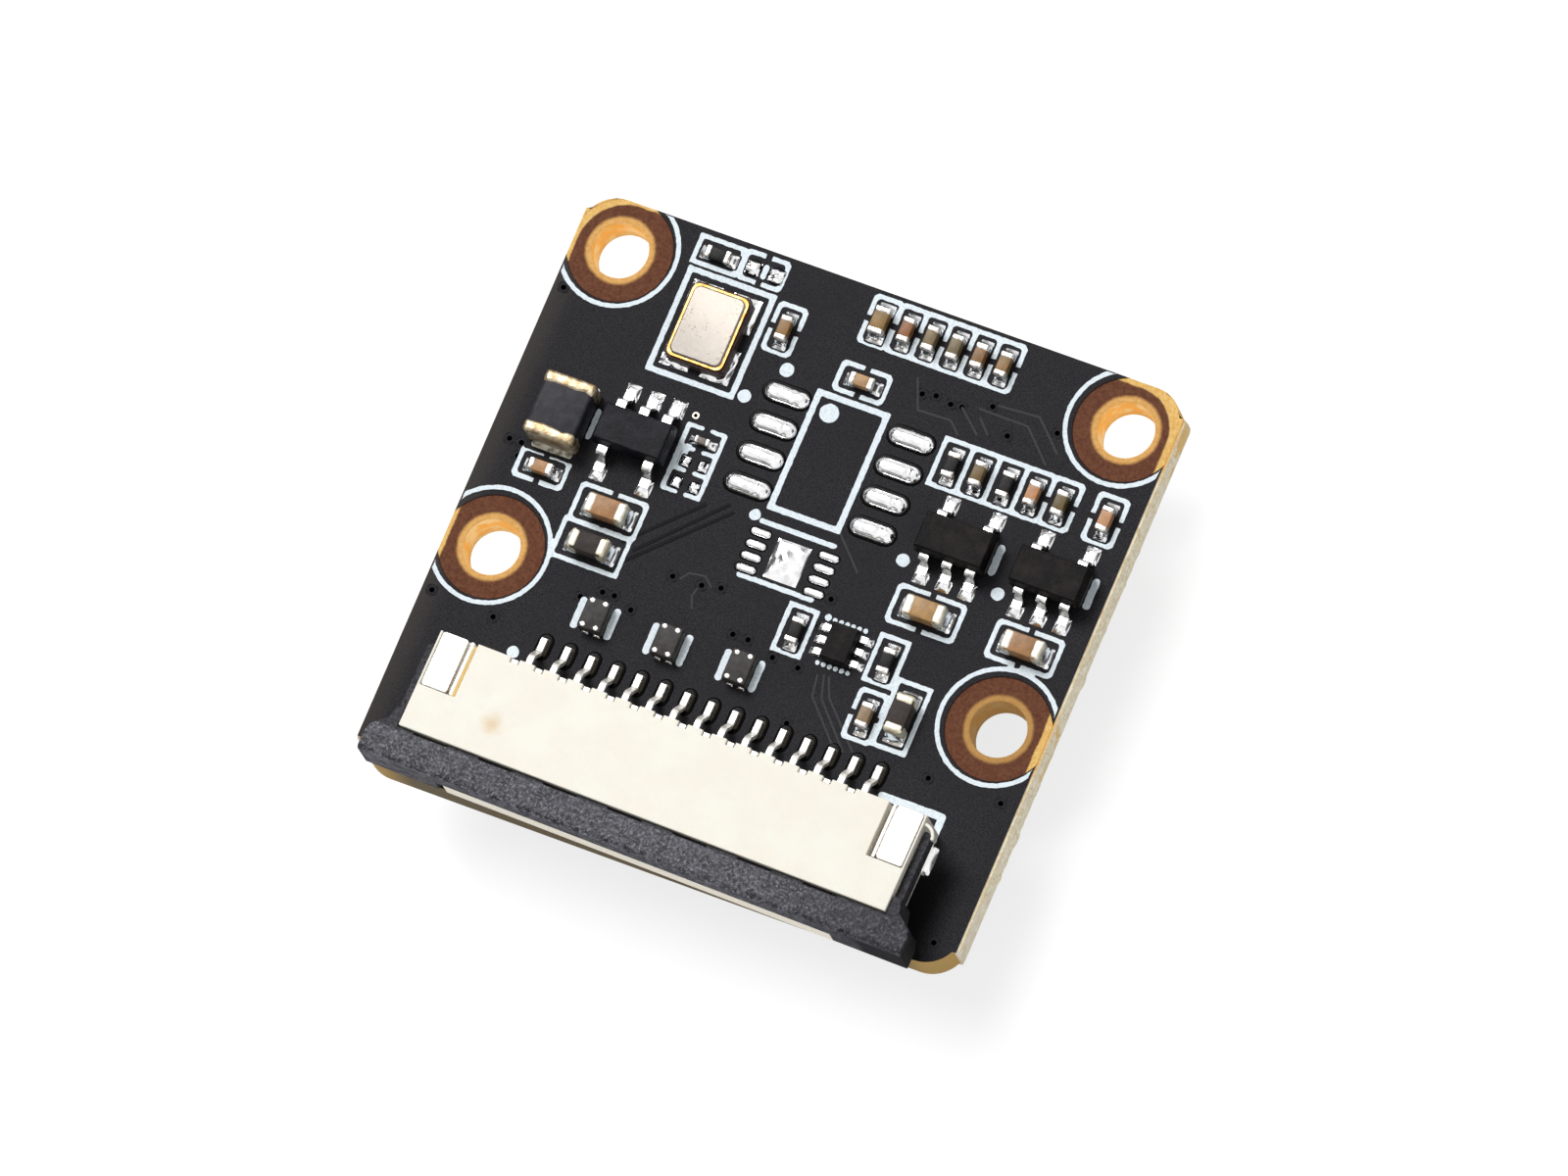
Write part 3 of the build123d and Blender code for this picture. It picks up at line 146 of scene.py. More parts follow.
class Finish:
    """One material: a shader, and helpers that add the nodes feeding it."""

    def __init__(self, name):
        self.material = bpy.data.materials.new(name)
        self.material.use_nodes = True
        self.tree = self.material.node_tree
        self.shader = self.tree.nodes["Principled BSDF"]
        self.place = self.add("ShaderNodeTexCoord").outputs["Object"]

    def add(self, kind, plugs=None, **settings):
        return add_node(self.tree, kind, plugs or {}, **settings)

    def set(self, **values):
        """Plug the shader's sockets, whose names are given with underscores."""
        for key, value in values.items():
            plug(self.tree, self.shader.inputs[key.replace("_", " ")], value)

    def noise(self, size_mm, detail=3.0, rough=0.6, stretch=None):
        """Noise whose grains are about size_mm wide."""
        where = self.place
        if stretch:
            where = self.add("ShaderNodeMapping", {"Vector": where, "Scale": stretch}).outputs[0]
        made = self.add("ShaderNodeTexNoise", {
            "Vector": where, "Scale": 1 / (size_mm * MM), "Detail": detail, "Roughness": rough})
        return made.outputs[0]

    def cells(self, size_mm):
        """Distance to the nearest of many scattered points."""
        made = self.add("ShaderNodeTexVoronoi", {"Vector": self.place, "Scale": 1 / (size_mm * MM)})
        return made.outputs[0]

    def curve(self, value, low, high, out_low=0.0, out_high=1.0):
        """Smooth step of a value from one range to another."""
        made = self.add("ShaderNodeMapRange", {
            0: value, 1: low, 2: high, 3: out_low, 4: out_high}, interpolation_type="SMOOTHSTEP")
        return made.outputs[0]

    def band(self, value, low, high, soft):
        """One from low to high, nought outside, with a smooth step at each end."""
        rising = self.curve(value, low, low + soft)
        return self.times(rising, self.curve(value, high - soft, high, 1.0, 0.0))

    def mix(self, share, first, second):
        """First colour at a share of nought, second colour at one."""
        made = self.add("ShaderNodeMix", {0: share, 6: first, 7: second}, data_type="RGBA")
        return made.outputs[2]

    def math(self, operation, first, second=0.0):
        return self.add("ShaderNodeMath", {0: first, 1: second}, operation=operation).outputs[0]

    def plus(self, first, second):
        return self.math("ADD", first, second)

    def minus(self, first, second):
        return self.math("SUBTRACT", first, second)

    def larger(self, first, second):
        return self.math("MAXIMUM", first, second)

    def times(self, product, *others):
        for other in others:
            product = self.math("MULTIPLY", product, other)
        return product

    def radius(self, across, along):
        """Straight distance from two distances at right angles."""
        squares = self.plus(self.times(across, across), self.times(along, along))
        return self.math("SQRT", squares)

    def bump(self, height, depth_mm):
        plugs = {"Height": height, "Strength": 1.0, "Distance": depth_mm * MM}
        return self.add("ShaderNodeBump", plugs).outputs[0]

    def axis(self):
        """X, Y and Z of the place on the part, in metres."""
        return self.add("ShaderNodeSeparateXYZ", {0: self.place}).outputs

    def facing(self):
        """X, Y and Z of the surface's own direction."""
        direction = self.add("ShaderNodeNewGeometry").outputs["True Normal"]
        return self.add("ShaderNodeSeparateXYZ", {0: direction}).outputs


print("helpers ready")

# %% [markdown]
# Metals. Tin and solder are bright, with cooler grey patches where the surface
# froze in grains. Fine grain would turn them to frosted plastic this close, so
# their skin only ripples slowly, and it breaks what they reflect into streaks.
# One recipe with a few dials makes the solder, the tinned leads, the dipped
# ends and the gold, and the sheet metal and the lid have their own.

# %% Metals
def metal(name, colour, dark, rough, patch_mm=0.3, ripple_mm=0.12, depth_mm=0.01, metallic=1.0):
    """Bright metal with soft cool patches and a slow ripple in its skin."""
    made = Finish(name)
    patches = made.curve(made.noise(patch_mm, 2.0), 0.36, 0.64)
    ripple = made.noise(ripple_mm, 2.0, 0.4)
    wear = made.curve(made.noise(patch_mm * 0.5), 0.3, 0.7, rough * 0.7, rough * 1.4)
    made.set(
        Base_Color=made.mix(patches, dark, colour),
        Metallic=metallic,
        Roughness=wear,
        Normal=made.bump(ripple, depth_mm),
    )
    return made.material


SOLDER = metal("solder", tone(252, 252, 252), tone(232, 232, 234), 0.14, 0.4, 0.25, 0.0015)
TINNED = metal("tinned_lead", tone(240, 240, 239), tone(186, 186, 186), 0.2, 0.25, 0.2, 0.004)
CONTACT = metal("contact_tin", tone(252, 250, 246), tone(222, 218, 210), 0.3, 0.3, 0.2, 0.002, 0.45)
CHIP_END = metal("chip_end", tone(242, 236, 230), tone(168, 162, 156), 0.28, 0.2, 0.12, 0.006)
POST = metal("plated_post", tone(252, 250, 246), tone(226, 222, 216), 0.3, 0.2, 0.08, 0.004)
BEAD_END = metal("bead_end", tone(232, 226, 206), tone(206, 196, 170), 0.4, 0.3, 0.2, 0.003, 0.7)
LARGE_END = metal("large_chip_end", tone(238, 234, 220), tone(214, 208, 190), 0.42, 0.3, 0.2, 0.003, 0.7)
DULL_SOLDER = metal("dull_solder", tone(190, 186, 174), tone(112, 106, 92), 0.4, 0.2, 0.12, 0.004, 0.8)
DIPPED = metal("pale_gold_dip", tone(198, 186, 160), tone(146, 124, 92), 0.4, 0.35, 0.1, 0.01, 0.8)
GOLD = metal("gold_ring", tone(216, 164, 102), tone(168, 108, 52), 0.3, 0.3, 0.15, 0.004)


RIGHT_HALF = (0.0, 1.0 * MM)
FOLD_VALLEY_X = (-9.12 * MM, -8.95 * MM)
SHEET_STEP_Z = 2.1 * MM


def plated_sheet():
    """Rolled sheet metal: nearly white and scuffed, with painted shade in the valley beside its fold and
    painted light low on its legs, strongest on the right one.
    """
    made = Finish("tinned_sheet")
    x, y, z = made.axis()
    scuffs = made.curve(made.noise(0.1, 4.0, 0.7, (0.5, 1.6, 1.0)), 0.5, 0.75)
    stain_and_painted_shadow = made.curve(made.noise(0.5, 3.0), 0.48, 0.7)
    body = made.mix(stain_and_painted_shadow, tone(254, 253, 251), tone(249, 245, 238))
    # Painted shade: a grey band in the valley beside the fold.
    aside = made.plus(x, made.times(made.noise(0.14), 0.05 * MM))
    body = made.mix(made.band(aside, *FOLD_VALLEY_X, 0.04 * MM), body, tone(196, 188, 174))
    right = made.curve(x, *RIGHT_HALF)
    rubbed = made.times(right, made.curve(scuffs, 0.0, 0.6, 0.55, 0.95))
    body = made.mix(rubbed, body, tone(204, 194, 183))
    # Painted light: the lower part of each leg glows white, fully on the right one and faintly on the
    # left.
    lower_light = made.curve(z, SHEET_STEP_Z - 0.2 * MM, SHEET_STEP_Z, 0.7, 0.0)
    made.set(
        Base_Color=made.mix(made.times(scuffs, 0.12), body, tone(214, 206, 196)),
        Metallic=0.55,
        Emission_Color=tone(250, 250, 248),
        Emission_Strength=made.times(lower_light, made.curve(x, *RIGHT_HALF, 0.1, 1.0)),
        Roughness=made.curve(scuffs, 0.0, 1.0, 0.34, 0.5),
        Normal=made.bump(scuffs, 0.003),
    )
    return made.material


def satin_lid():
    """Pressed lid: satin, with a painted sheen that brightens it towards one corner, and faint pits."""
    made = Finish("satin_lid")
    x, y, z = made.axis()
    low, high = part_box("crystal_lid")
    # Painted sheen: the satin tone drifts brighter towards one corner, as a reflection would.
    along = made.plus(made.times(x, 0.5), y)
    drift = made.curve(along, low.x * 0.5 + low.y, high.x * 0.5 + high.y)
    drift = made.plus(drift, made.times(made.noise(1.1), 0.4))
    satin = made.mix(made.curve(drift, 0.2, 1.2), tone(132, 127, 121), tone(157, 150, 142))
    pits = made.curve(made.cells(0.14), 0.2, 0.36, 1.0, 0.0)
    spread = made.curve(made.noise(0.7), 0.48, 0.62)
    grain = made.noise(0.03, 4.0, 0.7)
    made.set(
        Base_Color=made.mix(made.times(pits, spread, 0.8), satin, tone(116, 96, 70)),
        Metallic=1.0,
        Roughness=made.curve(grain, 0.3, 0.7, 0.42, 0.56),
        Normal=made.bump(grain, 0.002),
    )
    return made.material


SHEET = plated_sheet()
SATIN_LID = satin_lid()
print(len(bpy.data.materials), "materials so far")

# %% [markdown]
# Ceramics and moulded bodies. A chip capacitor is a fired block in a brown
# that differs from reel to reel, and its face has fine pores and a soft sheen.
# A moulded body is black epoxy with a fine spark-eroded grain.

# %% Ceramics and moulded bodies
def ceramic(name, colour, pale=1.18, dark=0.78, rough=0.42, sheen=0.5):
    """Fired body with soft clouds, pores and specks."""
    made = Finish(name)
    light = tuple(min(1.0, value * pale) for value in colour[:3]) + (1.0,)
    deep = tuple(value * dark for value in colour[:3]) + (1.0,)
    clouds = made.curve(made.noise(0.35), 0.3, 0.7)
    specks = made.curve(made.cells(0.05), 0.05, 0.3)
    body = made.mix(clouds, deep, light)
    pores = made.noise(0.04, 5.0, 0.7)
    made.set(
        Base_Color=made.mix(specks, deep, body),
        Roughness=made.curve(pores, 0.3, 0.7, rough * 0.8, rough * 1.3),
        Specular_IOR_Level=0.15 + sheen * 0.2,
        Coat_Weight=sheen * 0.2,
        Coat_Roughness=0.25,
        Normal=made.bump(pores, 0.006),
    )
    return made.material


def moulding(name, colour, pale, rough=0.5, grain_mm=0.05, depth_mm=0.01, shine=0.2):
    """Moulded body: an even fine grain, paler where it is rubbed."""
    made = Finish(name)
    grain = made.noise(grain_mm, 5.0, 0.7)
    rubbed = made.curve(made.noise(0.7), 0.4, 0.75, 0.0, 0.6)
    made.set(
        Base_Color=made.mix(made.times(rubbed, grain), colour, pale),
        Roughness=made.curve(grain, 0.3, 0.7, rough * 0.8, rough * 1.25),
        Specular_IOR_Level=shine,
        Normal=made.bump(grain, depth_mm),
    )
    return made.material


BLACK_MOULD = moulding("black_mould", tone(11, 8, 8), tone(62, 54, 50), 0.46, 0.07, shine=0.08)
LEFT_MOULD = moulding("left_black_mould", tone(12, 12, 18), tone(56, 56, 66), 0.42, 0.07, shine=0.1)
RESISTOR = ceramic("black_glaze", tone(18, 16, 16), 1.6, 0.6, 0.4, 0.0)
FERRITE = ceramic("grey_ferrite", tone(42, 42, 47), 1.45, 0.7, 0.5, 0.1)
BEAD = ceramic("dark_ferrite", tone(56, 49, 46), 1.3, 0.75, 0.5, 0.0)
FILTER_BODY = ceramic("brown_ferrite", tone(58, 55, 54), 1.4, 0.7, 0.5, 0.1)
BASE_CERAMIC = ceramic("dark_ceramic", tone(58, 42, 38), 1.2, 0.75, 0.5, 0.2)
CAP_TONES = {
    "top_cap_1": (139, 108, 54), "top_cap_2": (135, 88, 49), "top_cap_3": (119, 100, 66),
    "top_cap_4": (115, 100, 68), "top_cap_5": (139, 102, 60), "top_cap_6": (139, 107, 65),
    "row_cap_1": (106, 84, 42), "row_cap_2": (195, 140, 95), "row_cap_3": (99, 82, 42),
    "lone_cap_1": (195, 144, 102), "lone_cap_2": (142, 106, 60), "lone_cap_3": (180, 140, 95),
    "lone_cap_4": (177, 131, 85), "lone_cap_5": (140, 116, 86), "large_cap_1": (171, 132, 82),
    "large_cap_2": (160, 116, 72), "large_cap_3": (166, 120, 76), "tiny_cap": (116, 106, 98),
}
print(len(CAP_TONES), "capacitors, each in its own brown")

# %% [markdown]
# The circuit board is one solid with four looks: black mask on its faces,
# bare brown laminate in the rings round the holes, amber on the walls of the
# holes, and pale glass fibre on its cut sides. The walls, the cut sides and
# the laminate near the holes and the upper edge carry a painted glow in place
# of light that comes through. Separate objects would leave seams, so one
# finish picks the look from the place: the distance to the nearest hole's
# axis and the direction that the surface faces. One short function makes the
# mask, one the bare rings, and one the cut sides and the hole walls. The last
# one chooses between them.

# %% Looks of the board
BARE_RING_R = 2.05 * MM
HOLE_R = 1.1 * MM
HALF_W = 12.5 * MM
EDGE_TO_HOLE = 2.0 * MM
LEFT_MARGIN_X = (-12.4 * MM, -11.2 * MM)
SHADOW_PATCH_X = (10.3 * MM, 12.1 * MM)
SHADOW_PATCH_Y = (-12.4 * MM, -11.4 * MM)


class BoardPlace:
    """Where a point of the board is: from the holes, from them to the upper edge, and in the lower right
    quarter, which gets painted shade.
    """

    def __init__(self, made):
        self.x, self.y, self.z = made.axis()
        self.aside = made.math("ABSOLUTE", self.x)
        off_x = made.minus(self.aside, HOLE_PITCH_X / 2)
        off_y = made.minus(made.math("ABSOLUTE", self.y), HOLE_PITCH_Y / 2)
        self.from_hole = made.radius(off_x, off_y)
        past_x = made.larger(made.plus(off_x, 0.1 * MM), 0.0)
        past_y = made.larger(made.minus(self.y, HOLE_PITCH_Y / 2), 0.0)
        self.outward = made.radius(past_x, past_y)
        # Painted shade: the lower right quarter, where the hole lies over the board's shadow and its
        # glow is dulled.
        lower = made.curve(self.y, -1.0 * MM, 0.0, 1.0, 0.0)
        self.shaded_lower_right = made.times(made.curve(self.x, *RIGHT_HALF), lower)


def mask_tones(made, place, grain):
    """Black mask: fine grain, slow clouds, a pale left margin and a painted shadow near one corner,
    beside the connector's right end.
    """
    clouds = made.curve(made.noise(2.5, 3.0), 0.35, 0.7, 0.0, 0.35)
    mask = made.mix(made.curve(grain, 0.36, 0.66), tone(22, 21, 24), tone(62, 61, 64))
    mask = made.mix(clouds, mask, tone(40, 39, 42))
    margin = made.curve(place.x, *LEFT_MARGIN_X, 0.4, 0.0)
    mask = made.mix(margin, mask, tone(84, 79, 74))
    # Painted shadow: the mask's top face turns nearly black beside the latch's right arm.
    stain_and_painted_shadow = made.times(
        made.curve(place.x, *SHADOW_PATCH_X, 0.75, 0.0),
        made.curve(place.y, *SHADOW_PATCH_Y, 1.0, 0.0),
        made.curve(place.x, 9.0 * MM, 9.2 * MM),
        made.curve(place.z, 0.5 * MM, 0.7 * MM))
    return made.mix(stain_and_painted_shadow, mask, tone(5, 5, 6))


def bare_tones(made, place):
    """Bare laminate: brown, with a painted glow round each hole and along the upper edge, standing in
    for light that comes through the laminate.
    """
    cloth = made.curve(made.noise(0.12, 4.0, 0.7), 0.3, 0.7)
    brown = made.mix(cloth, tone(92, 54, 38), tone(118, 76, 56))
    # Painted glow: paler amber near each hole, as though light shone through the laminate there.
    hole_glow = made.mix(cloth, tone(214, 158, 88), tone(234, 184, 112))
    # Painted shade: the halo of the lower right hole is duller.
    hole_glow = made.mix(made.times(place.shaded_lower_right, 0.6), hole_glow, tone(160, 120, 70))
    wander = made.plus(place.from_hole, made.times(made.noise(0.5), 0.1 * MM))
    near_hole = made.curve(wander, HOLE_R + 0.2 * MM, HOLE_R + 0.37 * MM, 1.0, 0.0)
    glow = made.mix(cloth, tone(224, 172, 92), tone(244, 206, 132))
    wide = made.plus(place.outward, made.times(made.noise(0.8), 0.16 * MM))
    wide = made.plus(wide, made.curve(place.x, -1.0 * MM, 1.0 * MM, 0.0, 0.1 * MM))
    at_edge = made.curve(wide, EDGE_TO_HOLE - 0.12 * MM, EDGE_TO_HOLE - 0.04 * MM)
    return made.mix(at_edge, made.mix(near_hole, brown, hole_glow), glow)


def cut_tones(made, place, strands):
    """Sides and hole walls, and the strength of a painted glow on each, which stands in for light from
    behind coming through.
    """
    fibres = made.curve(strands, 0.3, 0.7)
    snapped = made.mix(fibres, tone(228, 214, 184), tone(253, 249, 238))
    broken = made.curve(made.noise(0.5, 4.0), 0.46, 0.7, 0.0, 0.7)
    snapped = made.mix(broken, snapped, tone(206, 184, 142))
    routed = made.mix(fibres, tone(168, 136, 88), tone(206, 172, 116))
    greyer = made.mix(0.75, routed, tone(156, 146, 126))
    warmer = made.mix(0.7, routed, tone(214, 178, 112))
    near_end = made.curve(place.aside, 9.6 * MM, 11.4 * MM)
    scored = made.curve(place.aside, HALF_W - 0.2 * MM, HALF_W - 0.12 * MM)
    side = made.mix(scored, made.mix(near_end, greyer, warmer), snapped)
    by_ring = made.curve(place.from_hole, BARE_RING_R, BARE_RING_R * 1.25, 1.0, 0.0)
    side = made.mix(by_ring, side, made.mix(fibres, tone(222, 176, 104), tone(248, 216, 150)))
    wall = made.curve(place.from_hole, HOLE_R * 1.2, HOLE_R * 1.4, 1.0, 0.0)
    clouds = made.curve(made.noise(0.9, 2.0), 0.4, 0.62)
    through = made.mix(clouds, tone(248, 194, 104), tone(252, 228, 172))
    # Painted shade: the wall of the lower right hole is duller.
    through = made.mix(made.times(place.shaded_lower_right, 0.75), through, tone(150, 116, 76))
    # Painted glow: emission on the hole walls, the scored side, the routed ends and the sides by the
    # rings.
    glow_strength = made.larger(made.times(by_ring, 0.14), made.times(scored, 0.3))
    glow_strength = made.larger(glow_strength, made.times(near_end, 0.22))
    glow_strength = made.larger(glow_strength, made.times(wall, 0.3))
    return made.mix(wall, side, through), glow_strength


print("four looks of the board")

# %% Finish of the board
def board_finish():
    """All looks of the board, chosen by place and by the way the surface faces."""
    made = Finish("board_laminate")
    place = BoardPlace(made)
    grain = made.noise(0.045, 5.0, 0.75)
    strands = made.noise(0.07, 4.0, 0.7, (0.25, 0.25, 2.2))
    side, glow_strength = cut_tones(made, place, strands)
    at_rim = made.curve(place.outward, EDGE_TO_HOLE - 0.12 * MM, EDGE_TO_HOLE - 0.08 * MM)
    ring = made.curve(place.from_hole, BARE_RING_R * 0.99, BARE_RING_R * 1.01, 1.0, 0.0)
    beside = made.curve(place.aside, 10.5 * MM, 10.7 * MM)
    tip = made.times(beside, made.curve(place.y, 6.9 * MM, 7.0 * MM), at_rim)
    top = made.mix(made.larger(ring, tip), mask_tones(made, place, grain), bare_tones(made, place))
    step = made.times(
        made.band(place.from_hole, BARE_RING_R * 0.98, BARE_RING_R * 1.02, BARE_RING_R * 0.01),
        made.minus(1.0, at_rim), made.curve(place.z, 0.7 * MM, 0.72 * MM))
    side = made.mix(step, side, tone(20, 18, 18))
    flat = made.curve(made.math("ABSOLUTE", made.facing()[2]), 0.4, 0.7)
    upright = made.minus(1.0, flat)
    made.set(
        Base_Color=made.mix(flat, side, top),
        Roughness=made.curve(grain, 0.3, 0.7, 0.36, 0.6),
        Specular_IOR_Level=0.03,
        # Painted glow on the upright faces.
        Emission_Color=side,
        Emission_Strength=made.times(upright, glow_strength, made.minus(1.0, step)),
        Normal=made.bump(made.plus(grain, made.times(strands, upright)), 0.006),
    )
    return made.material


def mask_finish(name, low, high, rough=0.42, shine=0.2):
    """The black mask by itself, for the copper and the vias that lift it."""
    made = Finish(name)
    grain = made.noise(0.045, 5.0, 0.75)
    made.set(
        Base_Color=made.mix(made.curve(grain, 0.35, 0.75), low, high),
        Roughness=made.curve(grain, 0.3, 0.7, rough * 0.8, rough * 1.2),
        Specular_IOR_Level=shine,
        Normal=made.bump(grain, 0.004),
    )
    return made.material


LAMINATE = board_finish()
RAISED_MASK = mask_finish("raised_mask", tone(46, 45, 48), tone(80, 79, 82), 0.42, 0.06)
RING_MASK = mask_finish("ring_mask", tone(26, 25, 28), tone(58, 57, 60), 0.42, 0.03)
DARK_TRACK = mask_finish("dark_track", tone(22, 22, 24), tone(48, 47, 50), 0.5, 0.02)
VIA_SHADE = mask_finish("via_shade_disc", tone(0, 0, 0), tone(4, 4, 4), 0.6, 0.0)
RIM_SHADE_MASK = mask_finish("rim_shade_mask", tone(1, 1, 1), tone(8, 7, 6), 0.2, 0.04)
FLUX = mask_finish("flux_film", tone(24, 20, 14), tone(82, 72, 56), 0.25, 0.2)
print("board finish ready")

# %% [markdown]
# Plastics of the flat-cable connector. The housing is ivory nylon that lets
# a little light through, with a painted gold reflection in one pocket and
# painted light on its low front. The latch is a slate plastic with flow marks
# and specks of its filler, darker along its rear edge and at its right end,
# with painted shade on its right arm and painted light on its front. Both
# lie one degree off square to the board, and so does the whole connector.

# %% Plastics
SMUDGE_AT = (-6.96 * MM, -13.22 * MM, 3.35 * MM)
POCKET_X = (-8.98 * MM, -8.58 * MM)
FFC_SKEW = math.radians(-1.0)
LATCH_REAR_Y = -14.69 * MM
BAR_FOOT_Z = (2.95 * MM, 3.2 * MM)
RIGHT_ARM_X = (9.0 * MM, 9.4 * MM)


def ivory():
    """Ivory nylon with a smudge, a painted gold reflection and glow in one pocket, and painted light on
    its low front faces.
    """
    made = Finish("ivory_plastic")
    x, y, z = made.axis()
    grain = made.noise(0.06, 4.0)
    clouds = made.curve(made.noise(1.8), 0.35, 0.7)
    body = made.mix(clouds, tone(247, 241, 228), tone(250, 246, 234))
    plugs = {0: made.place, 1: SMUDGE_AT}
    spot = made.add("ShaderNodeVectorMath", plugs, operation="DISTANCE").outputs["Value"]
    ragged = made.plus(spot, made.times(made.noise(0.25, 4.0), 0.4 * MM))
    smudge = made.curve(ragged, 0.2 * MM, 0.8 * MM, 0.6, 0.0)
    # Painted reflection and glow: the pocket wall beside the hold-down is gold, as though it mirrored
    # the metal, and it glows.
    pocket_reflection = made.times(
        made.band(x, *POCKET_X, 0.04 * MM),
        made.curve(z, 3.26 * MM, 3.32 * MM, 1.0, 0.0),
        made.curve(y, -12.96 * MM, -12.9 * MM))
    body = made.mix(pocket_reflection, body, tone(232, 214, 164))
    # Painted light: low faces that look forward glow as though lit.
    forward = made.curve(made.facing()[1], -0.95, -0.6, 1.0, 0.0)
    front_light = made.times(forward, made.curve(z, 1.9 * MM, 2.0 * MM, 1.0, 0.0), 0.5)
    made.set(
        Emission_Color=made.mix(pocket_reflection, tone(238, 230, 214), tone(226, 206, 152)),
        Emission_Strength=made.larger(made.times(pocket_reflection, 0.32), front_light),
        Base_Color=made.mix(smudge, body, tone(222, 188, 130)),
        Roughness=made.curve(grain, 0.3, 0.7, 0.42, 0.6),
        Specular_IOR_Level=0.35,
        Subsurface_Weight=0.2,
        Subsurface_Radius=(0.6, 0.45, 0.3),
        Subsurface_Scale=0.3 * MM,
        Normal=made.bump(grain, 0.004),
    )
    return made.material


def slate():
    """Filled plastic: strong specks on the bar, darker along its rear edge and on the arms, with painted
    shade on the right arm and painted light on the faces that look forward.
    """
    made = Finish("slate_plastic")
    x, y, z = made.axis()
    fine = made.noise(0.13, 5.0, 0.85)
    coarse = made.noise(0.38, 4.0, 0.8)
    on_bar = made.curve(z, *BAR_FOOT_Z, 0.3, 1.0)
    bar = made.mix(made.curve(coarse, 0.36, 0.66), tone(46, 46, 51), tone(96, 96, 103))
    bar = made.mix(made.times(made.curve(fine, 0.49, 0.64), on_bar), bar, tone(152, 152, 160))
    pitted = made.times(made.curve(fine, 0.36, 0.47, 1.0, 0.0), on_bar, 0.85)
    bar = made.mix(pitted, bar, tone(22, 22, 26))
    marks = made.curve(made.noise(0.42, 3.0, 0.6, (0.5, 1.4, 1.0)), 0.55, 0.62)
    marks = made.times(marks, made.curve(x, -9.5 * MM, -5.0 * MM, 0.6, 0.2))
    bar = made.mix(marks, bar, tone(34, 34, 38))
    bar = made.mix(made.curve(x, 4.0 * MM, 10.5 * MM, 0.0, 0.5), bar, tone(10, 10, 12))
    # Painted shade: the right arm below the bar turns nearly black.
    below_bar = made.curve(z, 2.98 * MM, 3.08 * MM, 0.75, 0.0)
    right_arm_shade = made.times(below_bar, made.curve(x, *RIGHT_ARM_X))
    bar = made.mix(right_arm_shade, bar, tone(8, 8, 10))
    along = made.plus(y, made.times(x, math.tan(-FFC_SKEW)))
    along = made.plus(along, made.times(made.noise(0.5), 0.1 * MM))
    behind = made.curve(along, LATCH_REAR_Y - 0.1 * MM, LATCH_REAR_Y - 0.02 * MM)
    rear = made.mix(made.curve(fine, 0.38, 0.66), tone(24, 24, 28), tone(78, 78, 84))
    made.set(
        Base_Color=made.mix(behind, bar, rear),
        # Painted light: faces that look forward glow.
        Emission_Color=bar,
        Emission_Strength=made.curve(made.facing()[1], -0.95, -0.6, 0.6, 0.0),
        Roughness=made.curve(coarse, 0.3, 0.7, 0.42, 0.62),
        Specular_IOR_Level=0.2,
        Normal=made.bump(made.plus(fine, coarse), 0.02),
    )
    return made.material


def print_ink():
    """White ink that lets the mask show where it is thin, with a faint painted glow that lifts it where
    it lies in shade.
    """
    made = Finish("white_print")
    thin = made.noise(0.1, 4.0, 0.7)
    full = tone(228, 238, 244)
    made.set(
        Base_Color=made.mix(made.curve(thin, 0.28, 0.6), tone(196, 208, 216), full),
        Roughness=made.curve(thin, 0.3, 0.7, 0.45, 0.65),
        Specular_IOR_Level=0.3,
        # Painted light: a faint glow that keeps the ink bright in shade.
        Emission_Color=full,
        Emission_Strength=0.09,
        Normal=made.bump(thin, 0.006),
    )
    return made.material


IVORY = ivory()
SLATE = slate()
INK = print_ink()
print("plastics and ink ready")

# %% [markdown]
# Finishes under the board. The lens side holds black mouldings, a glass
# window, coated lenses, amber film and grey foam.

# %% Finishes of the lens side
def glass(name, tint, rough=0.03):
    """Smooth coated glass with a slight haze."""
    made = Finish(name)
    haze = made.noise(0.8)
    made.set(
        Base_Color=tint,
        Roughness=made.curve(haze, 0.3, 0.7, rough, rough * 3),
        IOR=1.52,
        Coat_Weight=0.6,
        Coat_Roughness=0.04,
        Normal=made.bump(haze, 0.002),
    )
    return made.material


def amber_film():
    """Amber film with raised lines of copper under it."""
    made = Finish("amber_flex")
    lines = made.curve(made.noise(0.3, 0.0, 0.5, (1.6, 0.02, 1.0)), 0.47, 0.53)
    made.set(
        Base_Color=made.mix(lines, tone(176, 104, 34), tone(206, 138, 56)),
        Roughness=made.curve(made.noise(0.3), 0.3, 0.7, 0.22, 0.38),
        Coat_Weight=0.4,
        Normal=made.bump(lines, 0.01),
    )
    return made.material


LENS_GLASS = glass("lens_glass", tone(30, 24, 48))
WINDOW = glass("filter_glass", tone(120, 150, 160))
SENSOR = glass("sensor_glass", tone(46, 62, 58), 0.06)
AMBER = amber_film()
FOAM = moulding("adhesive_foam", tone(60, 60, 62), tone(92, 92, 94), 0.9, 0.09, 0.03)
HOLDER = moulding("black_holder", tone(24, 24, 25), tone(50, 50, 52), 0.5, 0.06, 0.012)
PLUG = moulding("black_connector", tone(30, 30, 31), tone(60, 60, 62), 0.5, 0.05, 0.008)
print("lens side finishes ready")

# %% [markdown]
# The solids that stay. Their shapes are right as they are, so they keep their
# meshes. Real edges are never razor sharp, and a bright line along an edge is
# what shows its size, so modifiers join the facets, clear the flat faces and
# round the edges without touching the mesh itself. The table below gives each
# solid its finish and the width of its rounded edges in millimetres. A width
# of nought leaves the edges alone: the lid's rim is chamfered already, and the
# rims of the lenses are hidden in their barrel.

